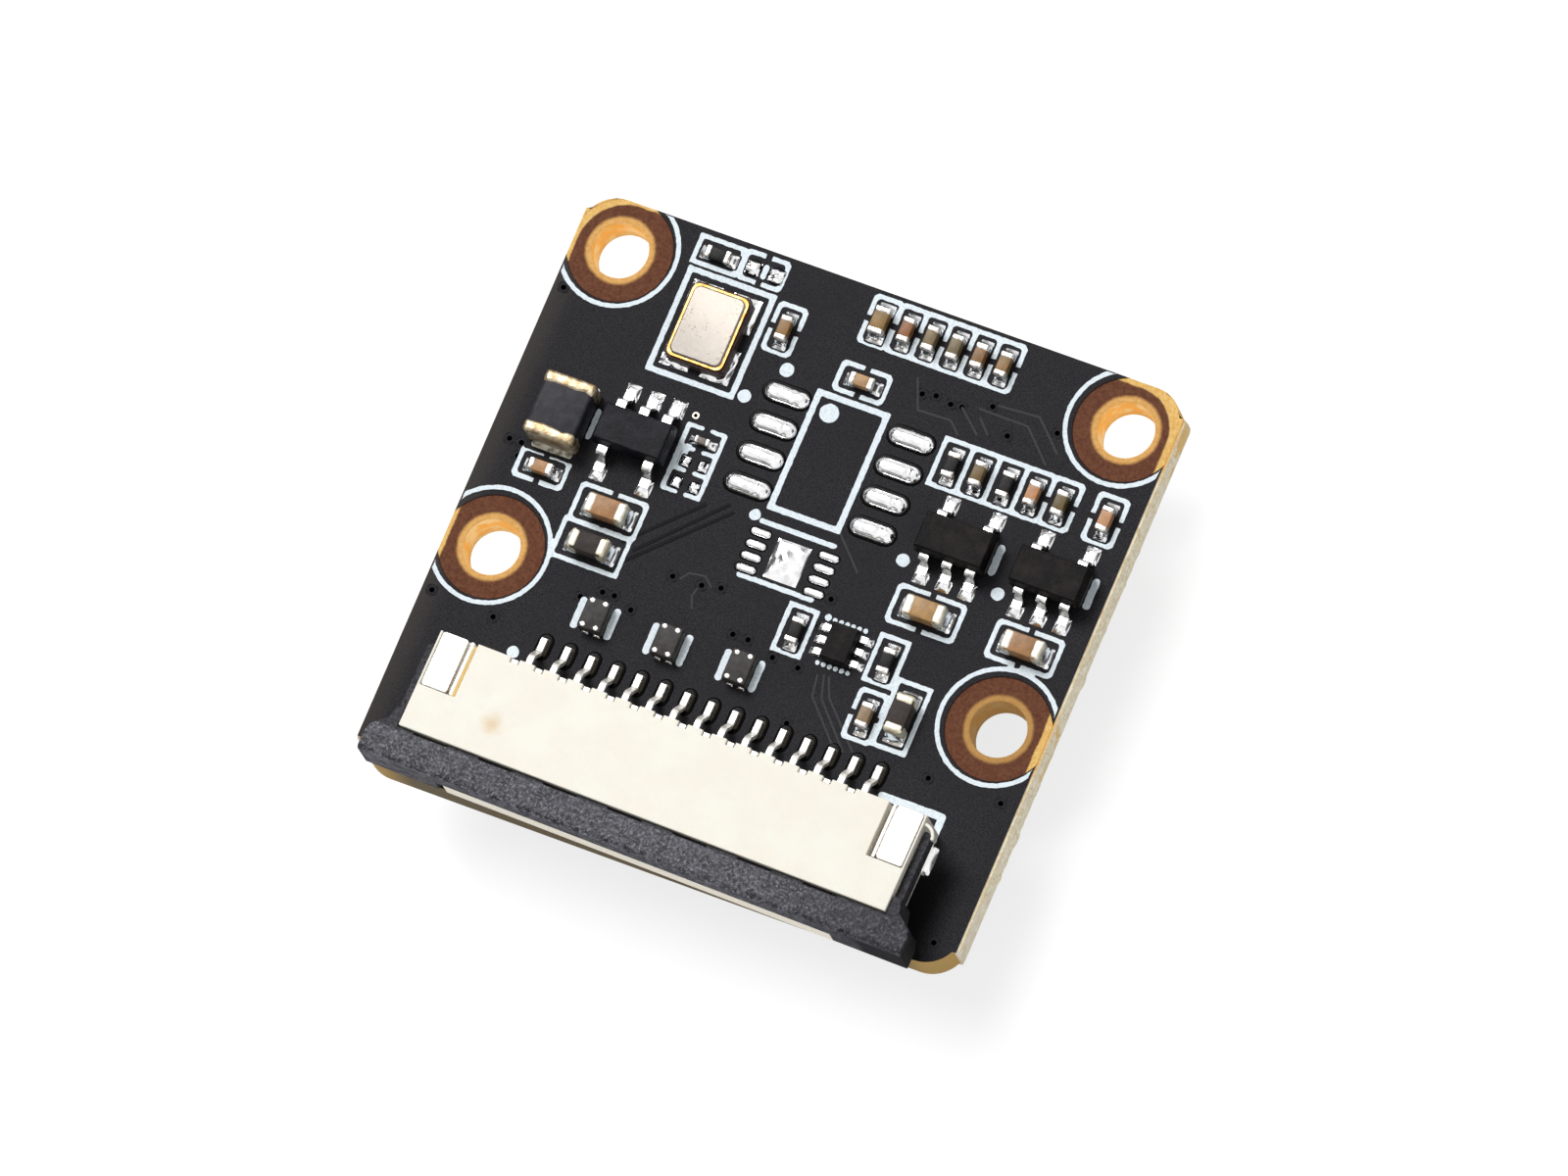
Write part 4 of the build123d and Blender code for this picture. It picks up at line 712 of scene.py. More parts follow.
# %% Finish and ease the solids that stay
def give_finish(node, material):
    """Put one finish on a solid of the frame."""
    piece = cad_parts[node]
    piece.data.materials.clear()
    piece.data.materials.append(material)
    return piece


def ease(piece, width_mm):
    """Round the sharp edges of a solid."""
    weld = piece.modifiers.new("join facets", "WELD")
    weld.merge_threshold = 0.0005 * MM
    flats = piece.modifiers.new("clear flats", "DECIMATE")
    flats.decimate_type = "DISSOLVE"
    flats.angle_limit = math.radians(1.0)
    edge = piece.modifiers.new("ease edges", "BEVEL")
    edge.width = width_mm * MM
    edge.segments = 2
    edge.limit_method = "ANGLE"
    edge.angle_limit = math.radians(40)
    edge.use_clamp_overlap = False
    soften = piece.modifiers.new("even shading", "WEIGHTED_NORMAL")
    soften.keep_sharp = True


KEPT = [
    ("board", LAMINATE, 0.03), ("ffc_housing", IVORY, 0.035), ("ffc_latch", SLATE, 0.04),
    ("ffc_contacts", CONTACT, 0.02), ("ffc_hold_downs", SHEET, 0.03),
    ("crystal_base", BASE_CERAMIC, 0.02), ("crystal_seal_ring", GOLD, 0.02),
    ("crystal_lid", SATIN_LID, 0.0),
    ("right_regulator_body", BLACK_MOULD, 0.05), ("middle_regulator_body", BLACK_MOULD, 0.05),
    ("left_regulator_body", LEFT_MOULD, 0.05), ("right_regulator_leads", TINNED, 0.02),
    ("middle_regulator_leads", TINNED, 0.02), ("left_regulator_leads", TINNED, 0.02),
    ("six_lead_chip_body", BLACK_MOULD, 0.03), ("six_lead_chip_leads", TINNED, 0.02),
    ("foam_pad", FOAM, 0.04), ("sensor_base_and_tail", AMBER, 0.02), ("board_socket", PLUG, 0.03),
    ("tail_plug", PLUG, 0.03), ("image_sensor", SENSOR, 0.02), ("filter_glass", WINDOW, 0.02),
    ("lens_holder", HOLDER, 0.05), ("lens_barrel", HOLDER, 0.04), ("front_lens", LENS_GLASS, 0.0),
    ("rear_lens", LENS_GLASS, 0.0),
]
for node, material, width_mm in KEPT:
    piece = give_finish(node, material)
    if width_mm:
        ease(piece, width_mm)
print(len(KEPT), "solids keep their own mesh")

# %% [markdown]
# Small forms are made as meshes in code. Three tools do most of the work: a
# block whose edges are rounded, a mound of solder on a pad, which is a grid
# pulled up by a height function and closed underneath, and a dome, which does
# the same on rings, so that its ends are round.

# %% Blocks, mounds and domes
SAME_POINT = 0.0002 * MM


def block(low, high, radius, steps=3):
    """Rounded block between two corners, in a mesh of its own."""
    shape = bmesh.new()
    bmesh.ops.create_cube(shape, size=1.0)
    for vertex in shape.verts:
        for axis in range(3):
            vertex.co[axis] = low[axis] if vertex.co[axis] < 0 else high[axis]
    if radius:
        bmesh.ops.bevel(
            shape, geom=shape.edges[:], offset=radius, segments=steps, profile=0.5,
            affect="EDGES", clamp_overlap=True)
    return shape


def merge(target, part, matrix=None):
    """Add one small mesh to another, moved by a matrix if one is given."""
    if matrix:
        part.transform(matrix)
    carrier = bpy.data.meshes.new("carrier")
    part.to_mesh(carrier)
    part.free()
    target.from_mesh(carrier)
    bpy.data.meshes.remove(carrier)


def wobble(point, size_mm, seed=0.0):
    """Smooth random value from -1 to 1 that depends on the place only."""
    return noise.noise(point / (size_mm * MM) + Vector((seed, seed * 1.7, -seed)))


def mound(x, y, z, length, width, turn, rise, round_off=0.35, steps=(12, 10), rim_down=True):
    """Closed mound on a pad. Rise takes u and v from -1 to 1, and the rim comes down to the pad."""
    shape = bmesh.new()
    along, across = steps
    grid = []
    for i in range(along + 1):
        u = math.sin(math.pi / 2 * (2 * i / along - 1))
        row = []
        for j in range(across + 1):
            v = math.sin(math.pi / 2 * (2 * j / across - 1))
            px = u * math.sqrt(1 - round_off * v * v / 2) * length / 2
            py = v * math.sqrt(1 - round_off * u * u / 2) * width / 2
            on_rim = i in (0, along) or j in (0, across)
            height = 0.0 if on_rim and rim_down else rise(u, v)
            row.append(shape.verts.new((px, py, height)))
        grid.append(row)
    for i in range(along):
        for j in range(across):
            shape.faces.new((grid[i][j], grid[i + 1][j], grid[i + 1][j + 1], grid[i][j + 1]))
    rim = grid[0][:] + [row[-1] for row in grid[1:]]
    rim += list(reversed(grid[-1][:-1])) + [row[0] for row in reversed(grid[1:-1])]
    shape.faces.new(rim)
    bmesh.ops.recalc_face_normals(shape, faces=shape.faces[:])
    shape.transform(Matrix.Translation((x, y, z)) @ Matrix.Rotation(turn, 4, "Z"))
    return shape


def dome(x, y, length, width, turn, rise, rings, steps):
    """Closed dome with round ends, on the board.

    Rise takes a share, 0 at the middle line and 1 at the rim, and the place along it.
    """
    shape = bmesh.new()
    radius = width / 2
    half = max(0.0, length / 2 - radius)
    stations = [(half, math.pi * (step / steps - 0.5)) for step in range(steps + 1)]
    stations += [(half * (1 - 2 * step / steps), math.pi / 2) for step in range(1, steps)]
    stations += [(-focus, angle + math.pi) for focus, angle in stations]
    rows = []
    for ring in range(rings + 1):
        share = math.sin(math.pi / 2 * ring / rings)
        row = []
        for focus, angle in stations:
            px, py = focus + share * radius * math.cos(angle), share * radius * math.sin(angle)
            height = rise(share, px) if ring < rings else 0.0
            row.append(shape.verts.new((px, py, height)))
        rows.append(row)
    count = len(stations)
    for inner, outer in zip(rows, rows[1:]):
        for index in range(count):
            onward = (index + 1) % count
            shape.faces.new((inner[index], outer[index], outer[onward], inner[onward]))
    shape.faces.new(rows[-1])
    bmesh.ops.remove_doubles(shape, verts=shape.verts[:], dist=2 * SAME_POINT)
    bmesh.ops.recalc_face_normals(shape, faces=shape.faces[:])
    shape.transform(Matrix.Translation((x, y, BOARD_TOP)) @ Matrix.Rotation(turn, 4, "Z"))
    return shape


print("tools for forms ready")

# %% Pieces, and the boxes of the solids they stand for
def add_piece(name, shape, material, stands_for=(), sharp_deg=40):
    """Turn a small mesh into a piece that rides on the board."""
    mesh = bpy.data.meshes.new(name)
    shape.to_mesh(mesh)
    shape.free()
    mesh.materials.append(material)
    mesh.shade_smooth()
    mesh.set_sharp_from_angle(angle=math.radians(sharp_deg))
    piece = bpy.data.objects.new(name, mesh)
    bpy.context.scene.collection.objects.link(piece)
    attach(piece, BOARD)
    if stands_for:
        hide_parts(*stands_for)


def solids_of(node):
    """Lowest and highest corner of each separate solid in a node."""
    shape = bmesh.new()
    shape.from_mesh(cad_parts[node].data)
    bmesh.ops.remove_doubles(shape, verts=shape.verts[:], dist=SAME_POINT)
    seen = set()
    found = []
    for first in shape.verts:
        if first in seen:
            continue
        seen.add(first)
        queue = [first]
        points = []
        while queue:
            vertex = queue.pop()
            points.append(vertex.co.copy())
            for edge in vertex.link_edges:
                other = edge.other_vert(vertex)
                if other not in seen:
                    seen.add(other)
                    queue.append(other)
        low = Vector([min(point[axis] for point in points) for axis in range(3)])
        high = Vector([max(point[axis] for point in points) for axis in range(3)])
        found.append((low, high))
    shape.free()
    return found


print("tools for pieces ready")

# %% [markdown]
# Chips. A chip capacitor is a ceramic block whose two ends were dipped in
# metal, so each end is a thin cap that stands a little proud, with soft
# corners and an edge that wanders. The body and the caps are separate
# pieces, because each takes its own finish, and both are sized from the solid
# that they stand for.

# %% Chips
BAND = {"cap": 0.25, "resistor": 0.22, "large": 0.42, "bead": 0.44, "tiny": 0.15}
END_ROUND = {"cap": 0.07, "resistor": 0.05, "large": 0.13, "bead": 0.16, "tiny": 0.05}
BODY_INSET = 0.022 * MM


def kind_of(name):
    for kind in ("large", "tiny", "resistor", "bead"):
        if name.startswith(kind):
            return kind
    return "cap"


class Chip:
    """Kind, size and place of one chip, measured on its solid."""

    def __init__(self, name):
        self.name = name
        self.kind = kind_of(name)
        self.band = BAND[self.kind] * MM
        self.low, self.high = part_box(name)
        size = self.high - self.low
        turned = size.y > size.x
        self.length, self.width = (size.y, size.x) if turned else (size.x, size.y)
        self.height = size.z
        self.turn = math.pi / 2 if turned else 0.0

    def place(self, z):
        """Matrix that lays a form from the origin on the chip's own place."""
        middle = (self.low + self.high) / 2
        return Matrix.Translation((middle.x, middle.y, z)) @ Matrix.Rotation(self.turn, 4, "Z")


def chip_body_finish(chip):
    """Finish and slot of a chip's body. Each capacitor has a brown of its own."""
    if chip.kind == "resistor":
        return RESISTOR, "black_glaze"
    if chip.kind == "bead":
        return BEAD, "dark_ferrite"
    return ceramic(chip.name + "_ceramic", tone(*CAP_TONES[chip.name])), "brown_ceramic"


def dipped_end(chip, side, centre):
    """Metal cap on one end, with soft corners and an inner edge that wanders."""
    outer = side * chip.length / 2
    inner = side * (chip.length / 2 - chip.band)
    radius = END_ROUND[chip.kind] * MM
    end = block(
        (min(outer, inner), -chip.width / 2, 0),
        (max(outer, inner), chip.width / 2, chip.height), radius, 4)
    for vertex in end.verts:
        drift = wobble(vertex.co + centre, 0.22, side)
        if abs(vertex.co.x) < abs(inner) + radius * 0.5:
            vertex.co.x -= side * drift * 0.05 * MM
        if vertex.co.z > chip.height / 2:
            vertex.co.z += 0.006 * MM * drift
    return end


def dress_chip(chip):
    """Body and dipped ends in place of one chip's solid."""
    place = chip.place(chip.low.z)
    half_x = chip.length / 2 - chip.band * 0.4
    half_y = chip.width / 2 - BODY_INSET
    body = block(
        (-half_x, -half_y, BODY_INSET), (half_x, half_y, chip.height - BODY_INSET), 0.03 * MM)
    body.transform(place)
    material, slot = chip_body_finish(chip)
    add_piece(chip.name + "_block", body, material, stands_for=(chip.name,))
    ends = bmesh.new()
    for side in (-1, 1):
        merge(ends, dipped_end(chip, side, place.translation))
    ends.transform(place)
    end_finish = {"bead": BEAD_END, "large": LARGE_END}.get(chip.kind, CHIP_END)
    add_piece(chip.name + "_ends", ends, end_finish)


chip_names = [*CAP_TONES, *(f"resistor_{number}" for number in range(1, 6)), "bead_1", "bead_2"]
chips = [Chip(name) for name in chip_names]
for chip in chips:
    dress_chip(chip)
print(len(chips), "chips")

# %% [markdown]
# Solder. Under every part is a tinned pad, and the solder that joins them
# climbs the metal end in a hollow curve and thins out to the toe of the pad.
# A wedge would look like a ramp. The hollow curve below is a power of the
# distance, and a little drift in height keeps two joints from being alike.

# %% Solder at the chips
PAD_T = 0.05 * MM
TOE = 0.27 * MM
solder = bmesh.new()


def chip_joint(chip, side):
    """Solder at one end of a chip: flat under the chip, hollow beyond its end."""
    reach = chip.band + TOE
    climb = chip.height * 0.62
    edge = 2 * chip.band / reach - 1
    seed = chip.low.x / MM * 0.37 + side

    def rise(u, v):
        beyond = max(0.0, (u - edge) / (1 - edge))
        shoulder = (1 - abs(v) ** 5) * (1 - max(0.0, u) ** 8)
        lift = 0.8 * PAD_T + climb * (1 - beyond) ** 2.3 * (1 - 0.55 * v * v)
        if u < edge - 0.12:
            lift = min(lift, PAD_T + climb * 0.35)
        return lift * shoulder * (1 + 0.12 * noise.noise(Vector((u * 1.5, v * 1.5, seed))))

    middle = side * (chip.length / 2 - chip.band + reach / 2)
    turn = 0.0 if side > 0 else math.pi
    joint = mound(middle, 0, 0, reach, chip.width + 0.05 * MM, turn, rise)
    merge(solder, joint, chip.place(BOARD_TOP))


for chip in chips:
    for side in (-1, 1):
        chip_joint(chip, side)
print("solder on", 2 * len(chips), "chip ends")

# %% [markdown]
# The other joints. The pads of the regulators, filters, crystal and
# connector are flat solids in the frame, and their boxes give the place and
# size of each mound. Those under a formed lead swell in the middle, where the
# foot of the lead sits in the solder, and those round the crystal froze in
# lumps. Under the contacts' tails there is only a brown film of flux, set a
# little to the right, where the tails' shadow falls, so there it is partly
# painted shade.

# %% Shapes of the other joints
FILTER_Y = -7.5 * MM
coil_low, coil_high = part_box("inductor_core")
crystal_low, crystal_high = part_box("crystal_base")
filter_boxes = [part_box(f"line_filter_{number}") for number in (1, 2, 3)]


def near_chip(spot):
    """Whether a pad belongs to a chip or the coil, which have joints of their own."""
    margin = 0.32 * MM
    for low, high in [(chip.low, chip.high) for chip in chips] + [(coil_low, coil_high)]:
        in_x = low.x - margin < spot.x < high.x + margin
        if in_x and low.y - margin < spot.y < high.y + margin:
            return True
    return False


def near_crystal(spot):
    margin = 0.6 * MM
    return crystal_low.x - margin < spot.x < crystal_high.x + margin and spot.y > 0


def under_contact(middle, size):
    narrow = size.x < 0.6 * MM and size.y < 1.2 * MM
    return narrow and abs(middle.x) < 8.5 * MM and -11.0 * MM < middle.y < -8.3 * MM


def beside_filter(low, high):
    """The same pad, cut back to just past the tile of a line filter."""
    middle = (low + high) / 2
    low, high = low.copy(), high.copy()
    for tile_low, tile_high in filter_boxes:
        if tile_low.x < middle.x < tile_high.x and abs(middle.y - FILTER_Y) < 1.2 * MM:
            low.y = max(low.y, tile_low.y - 0.07 * MM)
            high.y = min(high.y, tile_high.y + 0.07 * MM)
    return low, high


def pool(low, high, height, swell, seed, turn=0.0):
    """Solder pool on a pad between two corners, with a swell in its middle."""
    middle, size = (low + high) / 2, high - low

    def rise(u, v):
        flat = (1 - abs(u) ** 5) * (1 - abs(v) ** 5)
        ripple = 1 + 0.16 * noise.noise(Vector((u * 1.3, v * 1.3, seed)))
        return (height + swell * (1 - u * u) * (1 - v * v)) * flat * ripple

    return mound(middle.x, middle.y, BOARD_TOP, size.x, size.y, turn, rise)


def lumps(low, high, height):
    """Solder that froze in lumps round the foot of the crystal."""
    middle, size = (low + high) / 2, high - low

    def rise(u, v):
        spot = Vector((middle.x + u * size.x / 2, middle.y + v * size.y / 2, 0))
        edge = (1 - abs(u) ** 6) * (1 - abs(v) ** 6)
        rough = 0.55 + 0.9 * wobble(spot, 0.3, 2.0) + 0.3 * wobble(spot, 0.12, 5.0)
        return height * max(0.12, rough) * edge

    return mound(middle.x, middle.y, BOARD_TOP, size.x, size.y, 0.0, rise, 0.1, (22, 22))


def coil_joint(side, climb_mm):
    """Hollow joint at one end of the coil."""
    middle_x = (coil_low.x + coil_high.x) / 2
    end_y = coil_high.y if side > 0 else coil_low.y
    y = end_y + side * 0.06 * MM

    def rise(u, v):
        lift = 0.04 + climb_mm * (1 - (u + 1) / 2) ** 2.2
        return lift * MM * (1 - abs(v) ** 6)

    return mound(middle_x, y, BOARD_TOP, 0.36 * MM, 1.7 * MM, side * math.pi / 2, rise)


print("shapes of joints ready")

# %% Solder at the leads and pads
# The films reach further right than left, into the tails' shadow, as partly painted shade.
FILM_LEFT = Vector((0.04 * MM, 0, 0))
FILM_RIGHT = Vector((0.08 * MM, 0, 0))
joint_pads = solids_of("solder_joints")
films = bmesh.new()
counted = 0
for low, high in joint_pads:
    middle, size = (low + high) / 2, high - low
    if near_chip(middle):
        continue
    seed = counted * 0.7
    counted += 1
    if under_contact(middle, size):
        merge(films, pool(low + FILM_LEFT, high + FILM_RIGHT, 0.055 * MM, 0.0, seed, FFC_SKEW))
    elif near_crystal(middle):
        merge(solder, lumps(low, high, 0.16 * MM))
    else:
        swell = 0.07 * MM if max(size.x, size.y) < 1.2 * MM else 0.02 * MM
        merge(solder, pool(*beside_filter(low, high), 0.07 * MM, swell, seed))
add_piece("flux_films", films, FLUX, sharp_deg=60)
add_piece("coil_lower_joint", coil_joint(-1, 0.06), DULL_SOLDER, sharp_deg=60)
merge(solder, coil_joint(1, 0.3))
add_piece("solder_fillets", solder, SOLDER, stands_for=("solder_joints",), sharp_deg=60)
print(counted, "pads and lands")

# %% [markdown]
# Empty places. Pads that hold no part were tinned by the same oven. On the
# long pads the solder pulled itself up into domes with round ends and a
# crease across them, on the small ones it froze almost flat, and on the
# broad one in the middle it set in facets. Round each pad the mask ends in a
# swollen rim, glossy and painted nearly black as painted shade at the edge
# of the opening.

# %% Shapes of the spare pads
spare = bmesh.new()
rims = bmesh.new()


def mask_rim(x, y, length, width, turn, rise_mm=0.022):
    """Swollen edge of the mask round a pad, glossy and painted nearly black as painted shade."""
    def swollen(share, along):
        return rise_mm * MM * (1 - share ** 8)

    merge(rims, dome(x, y, length, width, turn, swollen, 5, 6))


def long_pad(x, y, length, width, turn, seed):
    """Tall dome with a crease across it."""
    crease = (0.22 + 0.3 * noise.noise(Vector((seed, 0.5, 0)))) * length

    def swell(share, along):
        fold = 1 - 0.22 * math.exp(-((along - crease) / (0.07 * MM)) ** 2)
        drift = 1 + 0.14 * noise.noise(Vector((along / (0.5 * MM), seed, 0)))
        foot = 0.02 * MM * (1 - share ** 8)
        return 0.2 * MM * (1 - share ** 2.4) ** 0.8 * fold * drift + foot

    pad = dome(x, y, length + 0.08 * MM, width + 0.06 * MM, turn, swell, 8, 14)
    merge(spare, pad)
    mask_rim(x, y, length + 0.26 * MM, width + 0.26 * MM, turn)


def small_pad(x, y, length, width, turn, seed):
    """Low dome, uneven along its length."""
    def swell(share, along):
        drift = 1 + 0.3 * noise.noise(Vector((along / (0.2 * MM), seed, 0)))
        return 0.075 * MM * (1 - share ** 3.5) * drift

    merge(spare, dome(x, y, length, width, turn, swell, 6, 8))
    mask_rim(x, y, length + 0.1 * MM, width + 0.1 * MM, turn, 0.016)


def tiny_pad(x, y, size):
    """Cushion of lumps, wider than its pad."""
    def lumpy(u, v):
        edge = (1 - abs(u) ** 6) * (1 - abs(v) ** 6)
        spot = Vector((x + u * size.x / 2, y + v * size.y / 2, 0))
        return 0.1 * MM * max(0.15, 0.6 + 1.1 * wobble(spot, 0.16, 7.0)) * edge

    merge(spare, mound(x, y, BOARD_TOP, size.x * 1.3, size.y * 1.06, 0.0, lumpy, 0.2, (16, 16)))


def centre_pad(x, y, size):
    """Four facets that meet in the middle, crumpled."""
    def crumpled(u, v):
        edge = (1 - abs(u) ** 8) * (1 - abs(v) ** 8)
        spot = Vector((x + u * 0.6 * MM, y + v * 0.8 * MM, 0))
        facets = 0.03 + 0.14 * (1 - max(abs(u), abs(v)))
        folds = 0.055 * wobble(spot, 0.4, 4.0) + 0.012 * wobble(spot, 0.12, 8.0)
        return (facets + folds) * MM * edge

    merge(spare, mound(x, y, BOARD_TOP, size.x, size.y, 0.0, crumpled, 0.05, (26, 30)))


print("shapes of spare pads ready")

# %% Tinned pads of the empty places
spare_pads = solids_of("spare_pads")
for number, (low, high) in enumerate(spare_pads):
    middle, size = (low + high) / 2, high - low
    x, y = middle.x, middle.y
    length, width = max(size.x, size.y), min(size.x, size.y)
    turn = 0.0 if size.x > size.y else math.pi / 2
    seed = number * 1.3
    if length > 1.6 * MM and width < 0.8 * MM:
        long_pad(x, y, length, width, turn, seed)
    elif length < 0.6 * MM:
        tiny_pad(x, y, size)
        mask_rim(x, y, length * 1.06 + 0.12 * MM, width * 1.3 + 0.12 * MM, turn, 0.02)
    elif width < 0.35 * MM:
        small_pad(x, y, length, width, turn, seed)
    else:
        centre_pad(x, y, size)
add_piece("tinned_spare_pads", spare, SOLDER, stands_for=("spare_pads",), sharp_deg=60)
for low, high in joint_pads:
    middle, size = (low + high) / 2, high - low
    if under_contact(middle, size):
        length, width = size.y + 0.28 * MM, size.x + 0.26 * MM
        # Painted shade: the rims round the contacts' pads sit 0.05 mm to the right, where the tails'
        # shadow falls.
        mask_rim(middle.x + 0.05 * MM, middle.y, length, width, math.pi / 2 + FFC_SKEW, 0.03)
add_piece("mask_rims", rims, RIM_SHADE_MASK, sharp_deg=60)
print(len(spare_pads), "spare pads")

# %% [markdown]
# White print. The ink is laid through a screen, so its lines have soft,
# slightly wandering edges and rounded corners. The outline of the flat solid
# is walked, cut into short steps, smoothed and nudged, and a filled curve
# gives it a thickness and a rounded rim.

# %% Tools for the print
INK_SHRINK = 0.033 * MM
BAR_WIDTH = 0.42 * MM
CORNER_DOT = (8.5 * MM, -10.2 * MM)


def top_outlines(node):
    """Closed outlines of the upper faces of a flat solid."""
    shape = bmesh.new()
    shape.from_mesh(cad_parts[node].data)
    bmesh.ops.remove_doubles(shape, verts=shape.verts[:], dist=SAME_POINT)
    upper = {face for face in shape.faces if face.normal.z > 0.9}
    rim = [edge for edge in shape.edges if sum(face in upper for face in edge.link_faces) == 1]
    links = {}
    for edge in rim:
        for vertex in edge.verts:
            links.setdefault(vertex, []).append(edge)
    left = set(rim)
    outlines = []
    for edge in rim:
        if edge not in left:
            continue
        left.discard(edge)
        start, here = edge.verts
        line = [start.co.copy()]
        while here is not start:
            line.append(here.co.copy())
            onward = [other for other in links[here] if other in left]
            if not onward:
                break
            edge = onward[0]
            left.discard(edge)
            here = edge.other_vert(here)
        outlines.append(line)
    shape.free()
    return outlines


def cut_to_steps(line, step):
    """The same outline with a point every step or so."""
    points = []
    for index, point in enumerate(line):
        onward = line[(index + 1) % len(line)]
        parts = max(1, round((onward - point).length / step))
        points += [point.lerp(onward, part / parts) for part in range(parts)]
    return points


def signed_area(line):
    return sum(a.x * b.y - b.x * a.y for a, b in zip(line, line[1:] + line[:1])) / 2


def holds(line, spot):
    """Whether an outline goes round a spot."""
    inside = False
    for a, b in zip(line, line[1:] + line[:1]):
        if (a.y > spot.y) == (b.y > spot.y):
            continue
        if spot.x < a.x + (spot.y - a.y) * (b.x - a.x) / (b.y - a.y):
            inside = not inside
    return inside


def shrink_of(points):
    """How far an outline moves in. Short bars and dots spread a little, one dot most."""
    left, right = min(point.x for point in points), max(point.x for point in points)
    lower, upper = min(point.y for point in points), max(point.y for point in points)
    longer, shorter = max(right - left, upper - lower), min(right - left, upper - lower)
    if (left + right) / 2 > CORNER_DOT[0] and (lower + upper) / 2 < CORNER_DOT[1]:
        return -0.045 * MM
    if shorter >= BAR_WIDTH:
        return INK_SHRINK
    return 0.025 * MM if longer > 1.5 * MM else -0.02 * MM


def inward(points, is_hole):
    """The outline moved towards the ink, which is how a thin screen print shrinks as it dries."""
    far = shrink_of(points)
    turn = 1.0 if signed_area(points) > 0 else -1.0
    if is_hole:
        turn = -turn
    moved = []
    for index, point in enumerate(points):
        along = (points[(index + 1) % len(points)] - points[index - 1]).normalized()
        moved.append(point + Vector((-along.y, along.x, 0)) * turn * far)
    return moved


print("print tools ready")

# %% White print
INK_STEP = 0.06 * MM
INK_DRIFT = 0.022 * MM
INK_HALF = 0.008 * MM
ink_curve = bpy.data.curves.new("white_print", "CURVE")
ink_curve.dimensions = "2D"
ink_curve.fill_mode = "BOTH"
ink_curve.extrude = INK_HALF
ink_curve.bevel_depth = 0.004 * MM
ink_curve.bevel_resolution = 1
outlines = top_outlines("silkscreen")
for line in outlines:
    points = cut_to_steps(line, INK_STEP)
    count = len(points)
    soft = [(points[i - 1] + points[i] * 2 + points[(i + 1) % count]) / 4 for i in range(count)]
    round_it = sum(holds(other, line[0]) for other in outlines if other is not line)
    soft = inward(soft, round_it % 2 == 1)
    spline = ink_curve.splines.new("POLY")
    spline.points.add(count - 1)
    spline.use_cyclic_u = True
    for index, point in enumerate(soft):
        shift_x = wobble(point, 0.2, 3.0) * INK_DRIFT
        shift_y = wobble(point, 0.2, 9.0) * INK_DRIFT
        spline.points[index].co = (point.x + shift_x, point.y + shift_y, 0, 1)
carrier = bpy.data.objects.new("print_carrier", ink_curve)
bpy.context.scene.collection.objects.link(carrier)
bpy.context.view_layer.update()
ink_mesh = bpy.data.meshes.new_from_object(carrier)
ink = bmesh.new()
ink.from_mesh(ink_mesh)
ink.transform(Matrix.Translation((0, 0, BOARD_TOP + INK_HALF + 0.003 * MM)))
bpy.data.objects.remove(carrier)
bpy.data.meshes.remove(ink_mesh)
add_piece("white_print_lines", ink, INK, stands_for=("silkscreen",))
print(len(outlines), "outlines of ink")

# %% [markdown]
# Coil and filters. The coil is a pressed ferrite block with both ends dipped
# in a pale metal whose edge wanders over the block. Each line filter is a
# brown ferrite tile with four plated posts let into its long sides.

# %% Coil
DIP_BAND = 0.5 * MM
coil = block(coil_low, coil_high, 0.12 * MM, 4)
add_piece("coil_block", coil, FERRITE, stands_for=("inductor_core",))
dip_low, dip_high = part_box("inductor_ends")
dips = bmesh.new()
for side in (-1, 1):
    y_out = dip_high.y if side > 0 else dip_low.y
    y_in = y_out - side * DIP_BAND
    dip = block(
        (dip_low.x, min(y_out, y_in), dip_low.z),
        (dip_high.x, max(y_out, y_in), dip_high.z), 0.15 * MM, 5)
    long_edges = [edge for edge in dip.edges if edge.calc_length() > 0.3 * MM]
    bmesh.ops.subdivide_edges(dip, edges=long_edges, cuts=9, use_grid_fill=True)
    for vertex in dip.verts:
        if abs(vertex.co.y - y_out) > DIP_BAND * 0.6:
            vertex.co.y -= side * 0.09 * MM * wobble(vertex.co, 0.35, 5.0)
    merge(dips, dip)
add_piece("coil_dipped_ends", dips, DIPPED, stands_for=("inductor_ends",))
print("coil dressed")

# %% Line filters
POST_R = 0.1 * MM
POST_X = 0.27 * MM
POST_INSET = 0.13 * MM
POST_PROUD = 0.022 * MM


def post_cap(x, y, z):
    """Low raised cap on one plated post."""
    def dot(u, v):
        return 0.035 * MM * (1 - (u * u + v * v) / 2)

    return mound(x, y, z, POST_R * 2.1, POST_R * 1.9, 0.0, dot, 0.95)


for number, (low, high) in enumerate(filter_boxes, 1):
    node = f"line_filter_{number}"
    middle = (low + high) / 2
    top_z = high.z - POST_PROUD
    tile = block(low, (high.x, high.y, top_z), 0.06 * MM, 4)
    add_piece(node + "_tile", tile, FILTER_BODY, stands_for=(node,))
    posts = bmesh.new()
    for side in (-1, 1):
        for y in (low.y + POST_INSET, high.y - POST_INSET):
            merge(posts, post_cap(middle.x + side * POST_X, y, top_z))
    add_piece(node + "_posts", posts, POST)
print("three filters dressed")

# %% [markdown]
# Vias and copper under the mask. The mask is a coat, so it rises over each
# copper track and dips into each via. They are slight, but without them the
# board looks like a painted plate. Tracks are low ribbons, and a via is a low
# ring with a black disc in its middle, painted shade that stands for the dip.
# One via is open, so its tinned ring shows round a black disc of painted
# shade.

